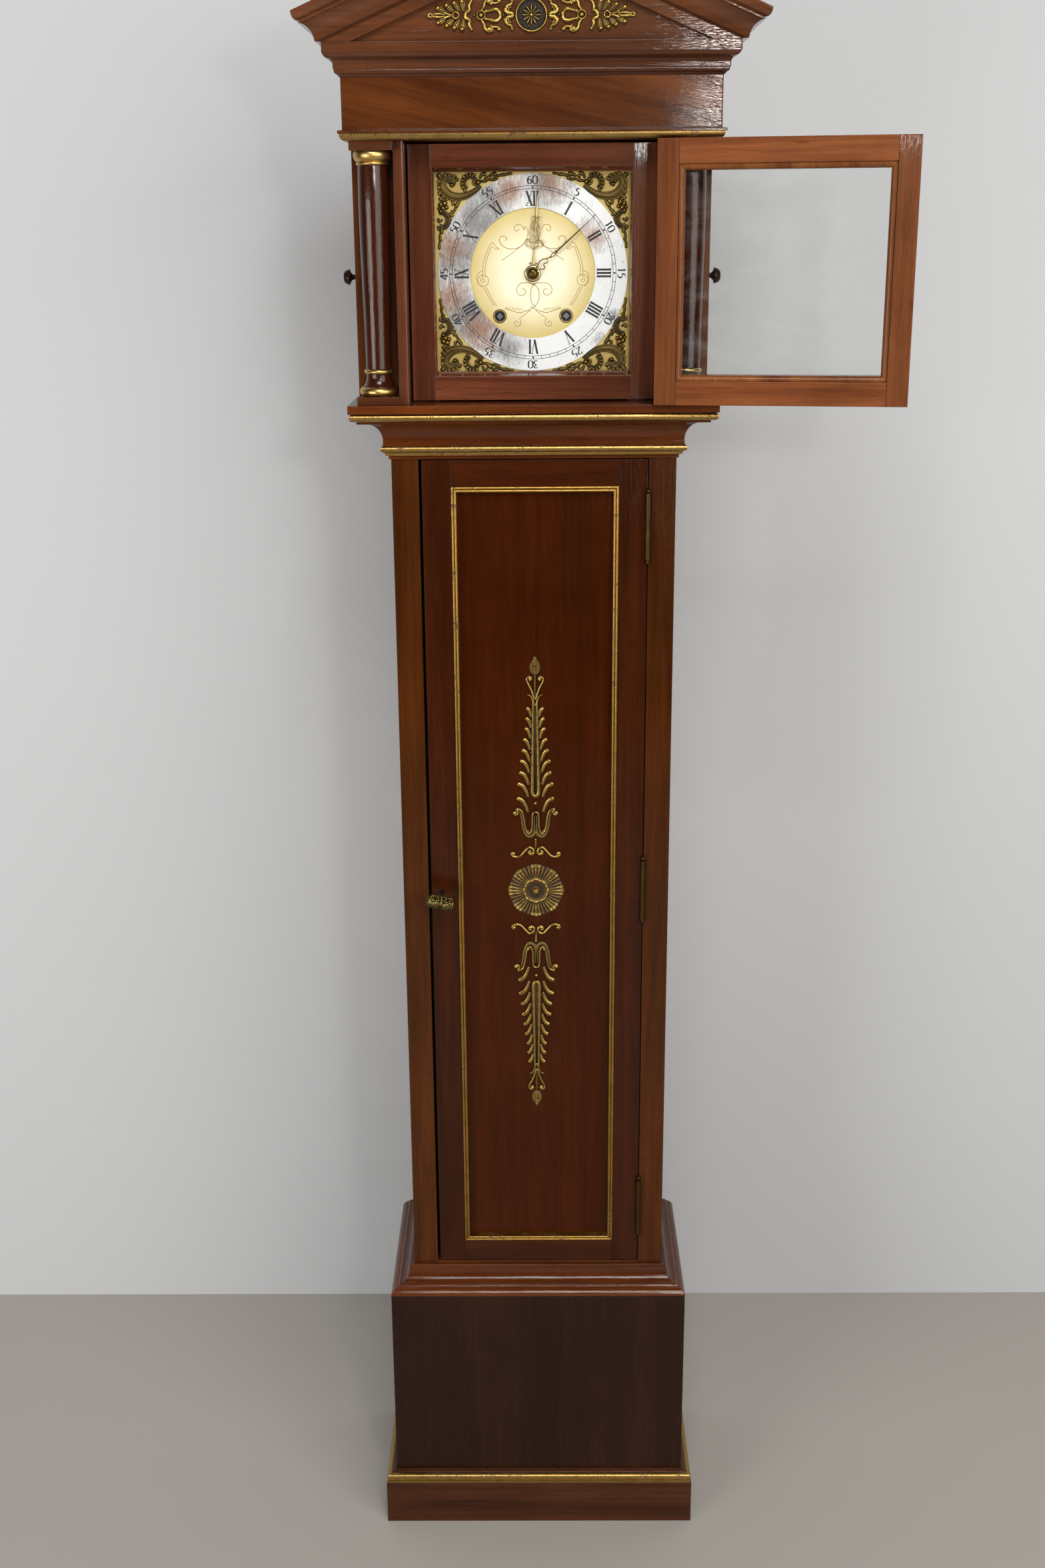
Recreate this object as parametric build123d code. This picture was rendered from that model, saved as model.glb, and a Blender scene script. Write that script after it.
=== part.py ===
"""Longcase clock with an Empire hood: mahogany carcass, gilt mouldings, a square brass dial and a
spring-driven two-train movement with a seconds pendulum.

Millimetres. X runs across the front, Y from the front to the back, Z up. The origin is the middle of the
plinth's underside. The hood door is exported standing open, everything else closed and at rest.
"""
import math
import os

from build123d import *

os.makedirs("parts", exist_ok=True)

# ---------------------------------------------------------------- case: driving dimensions
trunk_width = 337.0
trunk_depth = 199.0
board = 14.0                    # side and back boards
frame_thick = 20.0              # trunk stiles, rails and trunk door
back_thick = 12.0
seam = 0.1                      # play between pieces that are let into each other

skirt_height = 63.5
skirt_projection = 45.0         # beyond the trunk's face, as are all the projections below
base_gilt_height = 12.5
base_gilt_fillet = 4.5          # flat under the bead
base_cove_height = 3.0
die_projection = 31.0
die_top = 358.0
cap_height = 33.0
trunk_height = 1091.0           # visible trunk, from the cap moulding to the throat
trunk_tenon = 51.0              # how far the trunk runs down inside the plinth

throat_fillet = 4.5
throat_gilt_height = 11.5
throat_gilt_fillet = 3.6
throat_neck = 3.0
cavetto_height = 25.0
cavetto_fillet = 3.0
hood_gilt_height = 9.0
hood_board = 9.5
hood_board_projection = 45.0

hood_height = 286.0             # from the hood's floor to its soffit
hood_overhang = 36.0            # of each side beyond the trunk
corner_front = 13.0             # corner stiles stand behind the trunk's face by this much
corner_thick = 18.0
jamb_thick = 12.0
jamb_round = 2.5
jamb_projection = 27.0          # jambs stand in front of the trunk's face

frieze_overhang = 39.5          # of each side beyond the trunk
frieze_projection = 44.0        # of the front beyond the trunk
frieze_height = 57.5
architrave_height = 7.0
architrave_depth = 8.0
cornice_height = 34.0
cornice_projection = 17.5       # beyond the frieze
crown_height = 28.0
crown_projection = 45.5         # beyond the frieze
rake_angle = 23.0
rake_band = 31.0                # width of the raking band, measured level
band_thick = 8.0
tympanum_thick = 10.5
roof_board = 10.0
boss_radius = 16.8
boss_height = 5.5
boss_rise = 25.5                # ornament's centre line above the tympanum's foot
boss_gap = 0.3
volute_length = 42.0
fan_height = 30.0
fan_thick = 4.0
fan_margin = 7.0                # from the fans' tips to the raking bands

column_block = 48.0
column_block_height = 9.3
column_torus_radius = 22.6
column_torus_height = 10.2
column_flare_height = 14.9
column_ring_radius = 17.0
column_ring_height = 4.9
shaft_foot_radius = 14.8
shaft_belly_radius = 17.1
shaft_neck_radius = 16.8
capital_height = 15.2
capital_neck_radius = 18.7
capital_radius = 21.6
abacus_height = 9.8

# ---------------------------------------------------------------- doors
trunk_door_gap = 1.0            # at the hinges, head and foot
trunk_lock_gap = 3.5
door_stile = 34.0
door_rail = 31.5
panel_recess = 7.0
panel_thick = 8.0
gilt_frame_width = 7.0
gilt_frame_proud = 2.5

hood_door_thick = 24.0
hood_door_gap = 0.6
hood_lock_gap = 2.1
hood_door_setback = 2.0         # behind the front of the jambs
hood_door_stile = 24.0
hood_door_rail = 26.5
bead_width = 6.5
lip_depth = 9.0
glass_thick = 2.0
bead_depth = 11.0
hood_door_open = 171.0          # degrees from closed, as it stands
pivot_ahead = 3.0               # hood door pivot in front of the jambs
pivot_inset = 1.0               # and inside the jamb's face
pivot_pin_radius = 2.0
strap_thick = 2.0
strap_length = 22.0

side_rail_foot = 27.5
side_rail_head = 28.5
side_stile_front = 44.0
side_stile_rear = 32.0
side_door_thick = 12.0
side_door_gap = 1.5
knob_height = 139.5             # above the hood's floor
knob_reach = 19.0
knob_neck = 8.0                 # length of the stem before the head flares
knob_head_radius = 8.9
knob_stem_radius = 3.2

barrel_radius = 3.6
barrel_clearance = 0.4
barrel_pin_radius = 1.5
running = 0.05                  # radial play of a pin in its bore
trunk_barrel_length = 91.0
trunk_barrel_foot = 87.0        # middle of the lowest hinge above the door opening's foot
trunk_barrel_head = 81.0
side_barrel_length = 34.0
side_barrel_inset = 41.0

keyhole_inset = 13.5            # from the door's edge
lock_drop = 3.7                 # keyhole and ornaments below the door's middle
key_radius = 2.6
key_bow_width = 34.0
key_bow_length = 26.0
key_reach = 22.0                # shank in front of the door
lock_width = 34.0
lock_height = 57.0
lock_thick = 9.0
bolt_rise = 16.7                # above the keyhole
bolt_height = 11.0
bolt_thick = 4.0
bolt_throw = 8.0

rosette_radius = 36.0
scroll_width, scroll_height, scroll_rise = 66.0, 18.0, 53.0
lyre_width, lyre_height, lyre_rise = 61.0, 40.0, 94.0
leaf_width, leaf_height, leaf_rise = 52.0, 137.0, 186.5
heart_width, heart_height, heart_rise = 24.0, 27.0, 269.0
cone_width, cone_height, cone_rise = 14.0, 22.0, 294.0
ornament_thick = 4.5

# ---------------------------------------------------------------- dial and movement
dial_lift = 0.3                 # dial centre above the middle of the hood
mask_margin = 2.0
mask_thick = 16.0
mask_gap = 4.0                  # behind the closed hood door
mask_stile = 25.75
mask_foot_rail = 28.8
mask_head_rail = 26.6
mask_bevel = 3.0
mask_bevel_depth = 12.0
mask_pad = 30.0
dial_side_margin = 17.5         # from the plate to the jambs
dial_end_margin = 18.0          # and to the hood's floor and soffit
dial_thick = 2.5
dial_gap = 2.8
ring_outer_radius = 109.4
ring_inner_radius = 72.3
ring_thick = 1.6
spandrel_reach = 110.9
spandrel_thick = 2.3
spandrel_gap = 0.6
hour_hand_length = 88.0
minute_hand_length = 97.5
minutes_past = 8.1              # the time shown is this many minutes past twelve
hand_thick = 1.2
dial_foot = 22.5                # space between the dial and the movement
dial_foot_radius = 3.0
plate_thick = 3.0
plate_spacing = 60.0
plate_half_width = 60.0
plate_above = 96.0              # plate's top above the dial centre
seat_below = 80.8               # seatboard's top below the dial centre
seat_thick = 16.0
pillar_radius = 3.5

barrel_x = 38.6                 # winding squares, from the dial centre
barrel_z = -47.6
barrel_drum_radius = 27.0
barrel_drum_length = 30.0
barrel_wall = 1.5
winding_radius = 4.0
winding_square = 6.0
arbor_radius = 1.5
centre_arbor_radius = 2.0
pivot_radius = 1.0
wheel_thick = 2.5

barrel_teeth = 72               # each wheel, and the pinion that it drives
barrel_pinion_teeth = 12
barrel_module = 0.8
inter_teeth = 60
inter_pinion_teeth = 10
inter_module = 0.8
centre_teeth = 64
centre_pinion_teeth = 8
centre_module = 0.75
third_teeth = 60
third_pinion_teeth = 8
third_module = 0.7
pin_teeth = 60
pin_pinion_teeth = 8
pin_module = 0.8
motion_teeth = 36
motion_module = 0.9
minute_pinion_teeth = 6
hour_teeth = 72
escape_teeth = 30
escape_radius = 18.0
escape_rise = 48.0              # escape arbor above the dial centre
pallet_rise = 74.0              # pallet arbor and pendulum pivot above the dial centre
hammer_offset = 26.0            # hammer arm behind the back plate
hammer_length = 34.0
hammer_arm = 4.0
hammer_radius = 5.0
hammer_head = 14.0
gong_gap = 0.3
gong_rod_radius = 2.5
gong_rod_space = 13.0
gong_length = 170.0
gong_rise = 6.0                 # gong block above the plates
gong_block = 20.0
pendulum_length = 994.0
pendulum_y = 20.0               # pendulum rod behind the back plate
rod_radius = 3.0
bob_radius = 74.0
bob_thick = 28.0

# ---------------------------------------------------------------- levels and planes worked out from them
back = (trunk_depth + skirt_projection) / 2
trunk_front = back - trunk_depth
trunk_half = trunk_width / 2
hood_half = trunk_half + hood_overhang
frieze_half = trunk_half + frieze_overhang
frieze_front = trunk_front - frieze_projection
jamb_front = trunk_front - jamb_projection
jamb_half = trunk_half - board - jamb_thick
corner_y = trunk_front + corner_front
inner_back = back - back_thick

base_gilt_top = skirt_height + base_gilt_height
base_cove_top = base_gilt_top + base_cove_height
cap_top = die_top + cap_height
throat_foot = cap_top + trunk_height
throat_gilt_foot = throat_foot + throat_fillet
throat_gilt_top = throat_gilt_foot + throat_gilt_height
cavetto_foot = throat_gilt_top + throat_neck
cavetto_top = cavetto_foot + cavetto_height
hood_gilt_foot = cavetto_top + cavetto_fillet
hood_gilt_top = hood_gilt_foot + hood_gilt_height
floor_z = hood_gilt_top + hood_board
soffit_z = floor_z + hood_height
frieze_foot = soffit_z + architrave_height
frieze_top = frieze_foot + frieze_height
cornice_top = frieze_top + cornice_height
rake = math.tan(math.radians(rake_angle))
band_front = frieze_front - cornice_projection
tympanum_front = band_front + band_thick
dial_z = floor_z + hood_height / 2 + dial_lift

column_x = jamb_half + jamb_thick + column_block / 2
column_y = corner_y - column_block / 2

door_front_y = jamb_front + hood_door_setback
door_back_y = door_front_y + hood_door_thick
mask_front = door_back_y + mask_gap
mask_back = mask_front + mask_thick
dial_front = mask_back + dial_gap
plate_front = dial_front + dial_thick + dial_foot
plate_back = plate_front + plate_thick + plate_spacing + plate_thick
seat_z = dial_z - seat_below


# ---------------------------------------------------------------- helpers
def box(x0, x1, y0, y1, z0, z1):
    """Solid box between two corners."""
    middle = Pos((x0 + x1) / 2, (y0 + y1) / 2, (z0 + z1) / 2)
    return middle * Box(x1 - x0, y1 - y0, z1 - z0)


def rod_z(x, y, z0, z1, radius):
    """Upright cylinder."""
    return Pos(x, y, (z0 + z1) / 2) * Cylinder(radius, z1 - z0)


def rod_y(x, z, y0, y1, radius):
    """Cylinder that runs from front to back."""
    return Pos(x, (y0 + y1) / 2, z) * Rot(90, 0, 0) * Cylinder(radius, y1 - y0)


def mirrored(shape):
    """The same shape on the other side of the clock."""
    return mirror(shape, about=Plane.YZ)


def both(shape):
    """A shape and its mirror image."""
    return [shape, mirrored(shape)]


def outline(start, *steps):
    """Closed face. A step is a point, for a straight run, or two points, for an arc through the first."""
    edges = []
    here = start
    for step in steps:
        if isinstance(step[0], tuple):
            through, there = step
            edges.append(ThreePointArc(here, through, there))
        else:
            there = step
            edges.append(Line(here, there))
        here = there
    if here != start:
        edges.append(Line(here, start))
    return make_face(edges)


def turned(start, *steps):
    """Solid of revolution about Z from an outline of radius and height."""
    return revolve(Plane.XZ * outline(start, *steps), axis=Axis.Z)


def front_plate(face, y0, thick):
    """A face drawn in X and Z, made solid from y0 backwards."""
    return extrude(Plane(origin=(0, y0 + thick, 0), x_dir=(1, 0, 0), z_dir=(0, -1, 0)) * face, amount=thick)


def wrapped(section, half_width, front):
    """Front and side lengths of a mitred moulding. The section's x is its projection and its y its height."""
    reach = 2 * half_width
    front_plane = Plane(origin=(reach, front, 0), x_dir=(0, -1, 0), z_dir=(-1, 0, 0))
    side_plane = Plane(origin=(half_width, back, 0), x_dir=(1, 0, 0), z_dir=(0, -1, 0))
    right_mitre = Plane(origin=(half_width, front, 0), z_dir=(1, 1, 0))
    left_mitre = Plane(origin=(-half_width, front, 0), z_dir=(-1, 1, 0))
    across = extrude(front_plane * section, amount=2 * reach)
    across = split(across, bisect_by=right_mitre, keep=Keep.BOTTOM)
    across = split(across, bisect_by=left_mitre, keep=Keep.BOTTOM)
    side = extrude(side_plane * section, amount=back - front + reach)
    side = split(side, bisect_by=right_mitre, keep=Keep.TOP)
    return [across, side, mirrored(side)]


def joined_frame(ring, x0, x1, z0, z1, lip):
    """Cut a flat ring into two full-height stiles and two rails.

    x0 to z1 are the corners where the joints start, and lip is how far the ring reaches inside them, where
    the joints turn into mitres.
    """
    far = 2 * (z1 - z0)
    top_points = [(x1, z1), (x1, far + z1), (x0, far + z1), (x0, z1)]
    foot_points = [(x0, z0), (x0, z0 - far), (x1, z0 - far), (x1, z0)]
    if lip:
        top_points += [(x0 + lip, z1 - lip), (x1 - lip, z1 - lip)]
        foot_points += [(x1 - lip, z0 + lip), (x0 + lip, z0 + lip)]
    top_zone = Polygon(*top_points, align=None)
    foot_zone = Polygon(*foot_points, align=None)
    limits = ring.bounding_box()
    depth = limits.max.Y - limits.min.Y
    top_rail = ring & front_plate(top_zone, limits.min.Y, depth)
    foot_rail = ring & front_plate(foot_zone, limits.min.Y, depth)
    stiles = ring - top_rail - foot_rail
    return list(stiles.solids()) + list(top_rail.solids()) + list(foot_rail.solids())


def mitred_frame(section, x0, x1, z0, z1, y):
    """Four mitred bars round a rectangle. The section's x runs inwards and its y towards the front."""
    middle_x, middle_z = (x0 + x1) / 2, (z0 + z1) / 2
    places = [((middle_x, z0), (1, 0, 0), x1 - x0), ((x1, middle_z), (0, 0, 1), z1 - z0),
              ((middle_x, z1), (-1, 0, 0), x1 - x0), ((x0, middle_z), (0, 0, -1), z1 - z0)]
    bars = []
    for (x, z), along, length in places:
        bar = extrude(Plane(origin=(-length / 2, 0, 0), x_dir=(0, 1, 0), z_dir=(1, 0, 0)) * section, amount=length)
        bar = split(bar, bisect_by=Plane(origin=(length / 2, 0, 0), z_dir=(1, 1, 0)), keep=Keep.BOTTOM)
        bar = split(bar, bisect_by=Plane(origin=(-length / 2, 0, 0), z_dir=(-1, 1, 0)), keep=Keep.BOTTOM)
        bars.append(Plane(origin=(x, y, z), x_dir=along, z_dir=(0, -1, 0)) * bar)
    return bars


def save(name, *pieces):
    """Write the pieces of one node."""
    solids = []
    for piece in pieces:
        members = piece if isinstance(piece, list) else [piece]
        for member in members:
            solids.extend(member.solids())
    export_step(Compound(children=solids), f"parts/{name}.step")


def barrel_hinge(length):
    """Lift-off barrel hinge on the Z axis: the upper half with its leaf towards -X, the lower half towards +X.

    Both leaves reach back, towards +Y, to the faces that they are fixed to.
    """
    half = length / 2
    finial = barrel_radius
    face = barrel_radius + barrel_clearance
    lower = turned((0, -half), ((finial * 0.7, finial * 0.5 - half), (finial * 0.4, 1.6 * finial - half)),
                   (barrel_radius, 1.6 * finial - half), (barrel_radius, 0), (0, 0))
    pin = rod_z(0, 0, 0, half / 2, barrel_pin_radius)
    upper = mirror(lower, about=Plane.XY) - rod_z(0, 0, 0, half / 2 + 1, barrel_pin_radius + running)
    upper = Pos(0, 0, seam) * upper
    leaf_height = half - 3 * finial
    case_leaf = box(trunk_door_gap, barrel_radius, 0, face, -leaf_height - finial / 2, -finial / 2)
    door_leaf = box(-barrel_radius, -trunk_door_gap, 0, face, finial / 2, leaf_height + finial / 2)
    bore = rod_z(0, 0, -half, half, barrel_pin_radius + running)
    return upper + (door_leaf - bore), lower + pin + case_leaf


def wheel(teeth, module, thick, hub_radius, phase, arms=4):
    """Flat toothed wheel in the XY plane, one tooth centred at the phase angle, with crossed-out arms."""
    pitch = 360 / teeth
    outer = module * (teeth / 2 + 0.62)
    root = module * (teeth / 2 - 0.95)
    points = []
    for tooth in range(teeth):
        for radius, share in ((root, -0.26), (outer, -0.12), (outer, 0.12), (root, 0.26)):
            angle = math.radians(phase + (tooth + share) * pitch)
            points.append((radius * math.cos(angle), radius * math.sin(angle)))
    blank = Polygon(*points, align=None)
    rim = root - 2.5
    if arms and rim > hub_radius + 8:
        windows = Circle(rim) - Circle(hub_radius + 4)
        for arm in range(arms // 2):
            windows -= Rot(0, 0, 180 * arm * 2 / arms) * Rectangle(2 * rim, 3)
        blank -= windows
    return extrude(blank, amount=thick)


def meshed(phase, teeth, other_teeth, line_angle):
    """Phase of the other wheel, whose centre lies at line_angle, so that its gap takes this wheel's tooth."""
    offset = phase - line_angle
    return line_angle + 180 - 180 / other_teeth - offset * teeth / other_teeth


def facing(shape, x, z, y):
    """Stand a shape drawn in XY up in the plane of the dial, its Z towards the viewer from y."""
    return Pos(x, y, z) * Rot(90, 0, 0) * shape


def pivoted_arbor(x, z, radius):
    """Arbor between the plates, with thinner pivots through them."""
    front_shoulder = plate_front + plate_thick + seam
    back_shoulder = plate_back - plate_thick - seam
    shank = rod_y(x, z, front_shoulder, back_shoulder, radius)
    return shank + rod_y(x, z, plate_front, plate_back, pivot_radius)


def third_point(start, end, from_start, from_end, side):
    """Point at two given distances from two others, on the left (+1) or right (-1) of the line."""
    dx, dz = end[0] - start[0], end[1] - start[1]
    span = math.hypot(dx, dz)
    along = (from_start ** 2 - from_end ** 2 + span ** 2) / (2 * span)
    off = side * math.sqrt(from_start ** 2 - along ** 2)
    return start[0] + (along * dx - off * dz) / span, start[1] + (along * dz + off * dx) / span


def angle_between(start, end):
    """Direction of the line of centres, in degrees."""
    return math.degrees(math.atan2(end[1] - start[1], end[0] - start[0]))


# ---------------------------------------------------------------- plinth
def plinth():
    die_half = trunk_half + die_projection
    die_front = trunk_front - die_projection
    skirt_thick = skirt_projection - die_projection
    skirt = outline((0, 0), (skirt_thick, 0), (skirt_thick, skirt_height), (0, skirt_height))
    nose = skirt_thick - 1
    cove = outline((0, base_gilt_top), (nose - 6, base_gilt_top),
                   ((nose - 8, base_gilt_top + base_cove_height * 0.4), (nose - 12, base_cove_top)),
                   (0, base_cove_top))
    save("plinth_base_mouldings", wrapped(skirt, die_half, die_front), wrapped(cove, die_half, die_front))

    front = box(-die_half, die_half, die_front, die_front + board, 0, die_top)
    side = box(die_half - board, die_half, die_front + board, back, 0, die_top)
    rear = box(board - die_half, die_half - board, inner_back, back, 0, die_top)
    bottom = box(board - die_half, die_half - board, die_front + board, inner_back, 0, board)
    save("plinth_box", front, both(side), rear, bottom)

    quarter = cap_height * 0.42
    cap = outline((0, die_top), (die_projection, die_top), (die_projection, die_top + 3),
                  ((die_projection - 3, die_top + 6.5), (die_projection - 9, die_top + 9)),
                  (die_projection - 10.5, die_top + 11),
                  ((die_projection - 21, die_top + quarter + 2), (7, cap_top - 6.5)),
                  (5, cap_top - 6.5), (5, cap_top), (0, cap_top))
    save("plinth_cap_moulding", wrapped(cap, trunk_half, trunk_front))


def base_gilt_section():
    """Fillet, quirk and bead above the skirt, measured from the die."""
    thick = skirt_projection - die_projection
    quirk = skirt_height + base_gilt_fillet
    return outline((0, skirt_height), (thick - 0.6, skirt_height), (thick - 0.6, quirk - 0.4), (thick - 2.2, quirk),
                   ((thick - 1, quirk + 3.8), (thick - 6, base_gilt_top)), (0, base_gilt_top))


# ---------------------------------------------------------------- trunk
foot_z = die_top - trunk_tenon
door_foot = cap_top + 2.5
door_head = throat_foot - 0.5
stile_inner = trunk_half - 32.0


def trunk():
    frame_back = trunk_front + frame_thick
    inner = trunk_half - board
    side = box(inner, trunk_half, frame_back, inner_back, foot_z, floor_z)
    side += box(inner, trunk_half, corner_y + corner_thick, inner_back, floor_z, seat_z - seat_thick)
    save("trunk_sides", both(side))

    stile = box(stile_inner, trunk_half, trunk_front, frame_back, foot_z, hood_gilt_top)
    bolt_z = keyhole_z + bolt_rise
    mortise = box(-stile_inner - bolt_throw - 2, -stile_inner, bolt_y - bolt_thick / 2 - seam * 5,
                  bolt_y + bolt_thick / 2 + seam * 5, bolt_z - bolt_height / 2 - 1, bolt_z + bolt_height / 2 + 1)
    foot_rail = box(-stile_inner, stile_inner, trunk_front, frame_back, foot_z, door_foot)
    head_rail = box(-stile_inner, stile_inner, trunk_front, frame_back, door_head, hood_gilt_top)
    save("trunk_front_frame", stile, mirrored(stile) - mortise, foot_rail, head_rail)

    hood_inner = hood_half - board
    tall = box(-trunk_half, trunk_half, inner_back, back, die_top, soffit_z)
    cheek = box(trunk_half, hood_inner, inner_back, back, floor_z, soffit_z)
    save("back_boards", tall, both(cheek))


def throat():
    wood = outline((0, throat_foot), (2.5, throat_foot), (2.5, throat_gilt_top), (8.5, throat_gilt_top),
                   (8.5, cavetto_foot), ((15, cavetto_top - 6), (33, cavetto_top)), (36, cavetto_top),
                   (36, hood_gilt_foot), (22, hood_gilt_foot), (22, hood_gilt_top), (0, hood_gilt_top))
    save("throat_moulding", wrapped(wood, trunk_half, trunk_front))

    quirk = throat_gilt_foot + throat_gilt_fillet
    lower = outline((2.5, throat_gilt_foot), (5.8, throat_gilt_foot), (7.2, quirk), (6.2, quirk + 0.6),
                    ((11.5, throat_gilt_top - 4), (8.5, throat_gilt_top)), (2.5, throat_gilt_top))
    nose = hood_board_projection - 1
    flat = nose - hood_gilt_height / 2 + 0.1
    upper = outline((22, hood_gilt_foot), (flat, hood_gilt_foot),
                    ((nose, (hood_gilt_foot + hood_gilt_top) / 2), (flat, hood_gilt_top)), (22, hood_gilt_top))
    architrave = outline((-architrave_depth, soffit_z), (-0.5, soffit_z),
                         ((2.6, soffit_z + architrave_height * 0.4), (3.4, frieze_foot)),
                         (-architrave_depth, frieze_foot))
    die_half = trunk_half + die_projection
    save("gilt_case_mouldings", wrapped(base_gilt_section(), die_half, trunk_front - die_projection),
         wrapped(lower, trunk_half, trunk_front), wrapped(upper, trunk_half, trunk_front),
         wrapped(architrave, frieze_half, frieze_front))


# ---------------------------------------------------------------- hood
side_opening_y = corner_y + side_stile_front
side_opening_end = back - side_stile_rear
side_opening_foot = floor_z + side_rail_foot
side_opening_head = soffit_z - side_rail_head
pivot_x = jamb_half - pivot_inset
pivot_y = jamb_front - pivot_ahead


def hood_carcass():
    half = trunk_half + hood_board_projection
    front_edge = trunk_front - hood_board_projection
    shelf = box(-half, half, front_edge, trunk_front + frame_thick, hood_gilt_top, floor_z)
    shelf -= rod_z(pivot_x, pivot_y, floor_z - 6, floor_z + 1, pivot_pin_radius + running)
    wing = box(trunk_half, half, trunk_front + frame_thick, back, hood_gilt_top, floor_z)
    save("hood_base_boards", shelf, both(wing))

    inner = hood_half - board
    front_stile = box(inner, hood_half, corner_y, side_opening_y, floor_z, soffit_z)
    rear_stile = box(inner, hood_half, side_opening_end, back, floor_z, soffit_z)
    foot_rail = box(inner, hood_half, side_opening_y, side_opening_end, floor_z, side_opening_foot)
    head_rail = box(inner, hood_half, side_opening_y, side_opening_end, side_opening_head, soffit_z)
    save("hood_side_frames", both(front_stile), both(rear_stile), both(foot_rail), both(head_rail))

    jamb_outer = jamb_half + jamb_thick
    jamb = box(jamb_half, jamb_outer, jamb_front, corner_y + corner_thick, floor_z, soffit_z)
    inner_arris = jamb.edges().filter_by(Axis.Z).sort_by(Axis.Y)[:2].sort_by(Axis.X)[0]
    jamb = fillet(inner_arris, jamb_round)
    corner = box(jamb_outer, inner, corner_y, corner_y + corner_thick, floor_z, soffit_z)
    save("hood_front_stiles", both(jamb), both(corner))


def columns():
    z0 = floor_z
    z1 = z0 + column_block_height
    z2 = z1 + column_torus_height
    z3 = z2 + column_flare_height
    z4 = z3 + column_ring_height
    z6 = soffit_z - abacus_height
    z5 = z6 - capital_height
    half = column_block / 2
    place = Pos(column_x, column_y, 0)
    foot = box(-half, half, -half, half, z0, z1)
    abacus = box(-half, half, -half, half, z6, soffit_z)
    save("column_blocks", both(place * foot), both(place * abacus))

    flare_foot = shaft_foot_radius + 4
    flare = turned((0, z2), (flare_foot, z2), ((shaft_foot_radius + 1, z2 + column_flare_height / 3),
                   (shaft_foot_radius, z3)), (0, z3))
    swell = [(shaft_foot_radius, z4), (shaft_foot_radius + 0.3, z4 + 40), (shaft_belly_radius, z4 + 145),
             (shaft_neck_radius, z5)]
    edges = [Line((0, z4), swell[0]), Spline(*swell), Line(swell[-1], (0, z5)), Line((0, z5), (0, z4))]
    shaft = revolve(Plane.XZ * make_face(edges), axis=Axis.Z)
    save("column_shafts", both(place * flare), both(place * shaft))

    torus_edge = column_torus_radius - 3.2
    torus = turned((0, z1), (torus_edge, z1), ((column_torus_radius, (z1 + z2) / 2), (torus_edge, z2)), (0, z2))
    ring_edge = column_ring_radius - 1.6
    ring = turned((0, z3), (ring_edge, z3), ((column_ring_radius, (z3 + z4) / 2), (ring_edge, z4)), (0, z4))
    neck_top = z5 + 3.6
    capital = turned((0, z5), (capital_neck_radius - 1.5, z5),
                     ((capital_neck_radius, (z5 + neck_top) / 2), (capital_neck_radius - 1, neck_top)),
                     ((capital_radius, z6 - 6), (capital_radius - 1, z6)), (0, z6))
    save("column_gilt_rings", both(place * torus), both(place * ring), both(place * capital))


def entablature():
    inner = architrave_depth
    soffit = box(inner - frieze_half, frieze_half - inner, frieze_front + inner, back, soffit_z, frieze_foot)
    soffit -= rod_z(pivot_x, pivot_y, soffit_z - 1, soffit_z + 5, pivot_pin_radius + running)
    frieze = outline((-board, frieze_foot), (5, frieze_foot), (5, frieze_foot + 3), (0, frieze_foot + 4),
                     (0, frieze_top), (-board, frieze_top))
    inner = frieze_half - board
    rear = box(-inner, inner, inner_back, back, frieze_foot, cornice_top)
    save("entablature_boards", soffit, rear, wrapped(frieze, frieze_half, frieze_front))

    bed = outline((-board, frieze_top), (1, frieze_top), (3, frieze_top + 2.5),
                  ((5.6, frieze_top + 4), (6, frieze_top + 7)), (7, frieze_top + 8), (7, frieze_top + 11),
                  ((8.2, frieze_top + 15.5), (12, frieze_top + 18)),
                  ((15, frieze_top + 19.6), (cornice_projection - 0.7, frieze_top + 22.5)),
                  (cornice_projection, frieze_top + 23), (cornice_projection, cornice_top), (-board, cornice_top))
    save("bed_cornice", wrapped(bed, frieze_half, frieze_front))


def crown_section(start, shear, lift):
    """Cornice section from its underside: cove, fillet and ogee. Shear raises it with its projection."""
    def at(out, up):
        return out, cornice_top + up + out * shear + lift

    scale = crown_height / 28
    tip = crown_projection
    bearing = cornice_top + cornice_projection * shear + lift
    return outline((start, bearing), (cornice_projection, bearing), at(tip - 22, 0), at(tip - 21.5, 2 * scale),
                   (at(tip - 18.5, 10 * scale), at(tip - 10, 16.5 * scale)), at(tip - 8, 16.5 * scale),
                   at(tip - 8, 18.5 * scale), at(tip - 3.5, 19.5 * scale),
                   (at(tip - 1.2, 22.5 * scale), at(tip, crown_height)), at(start, crown_height))


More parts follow.
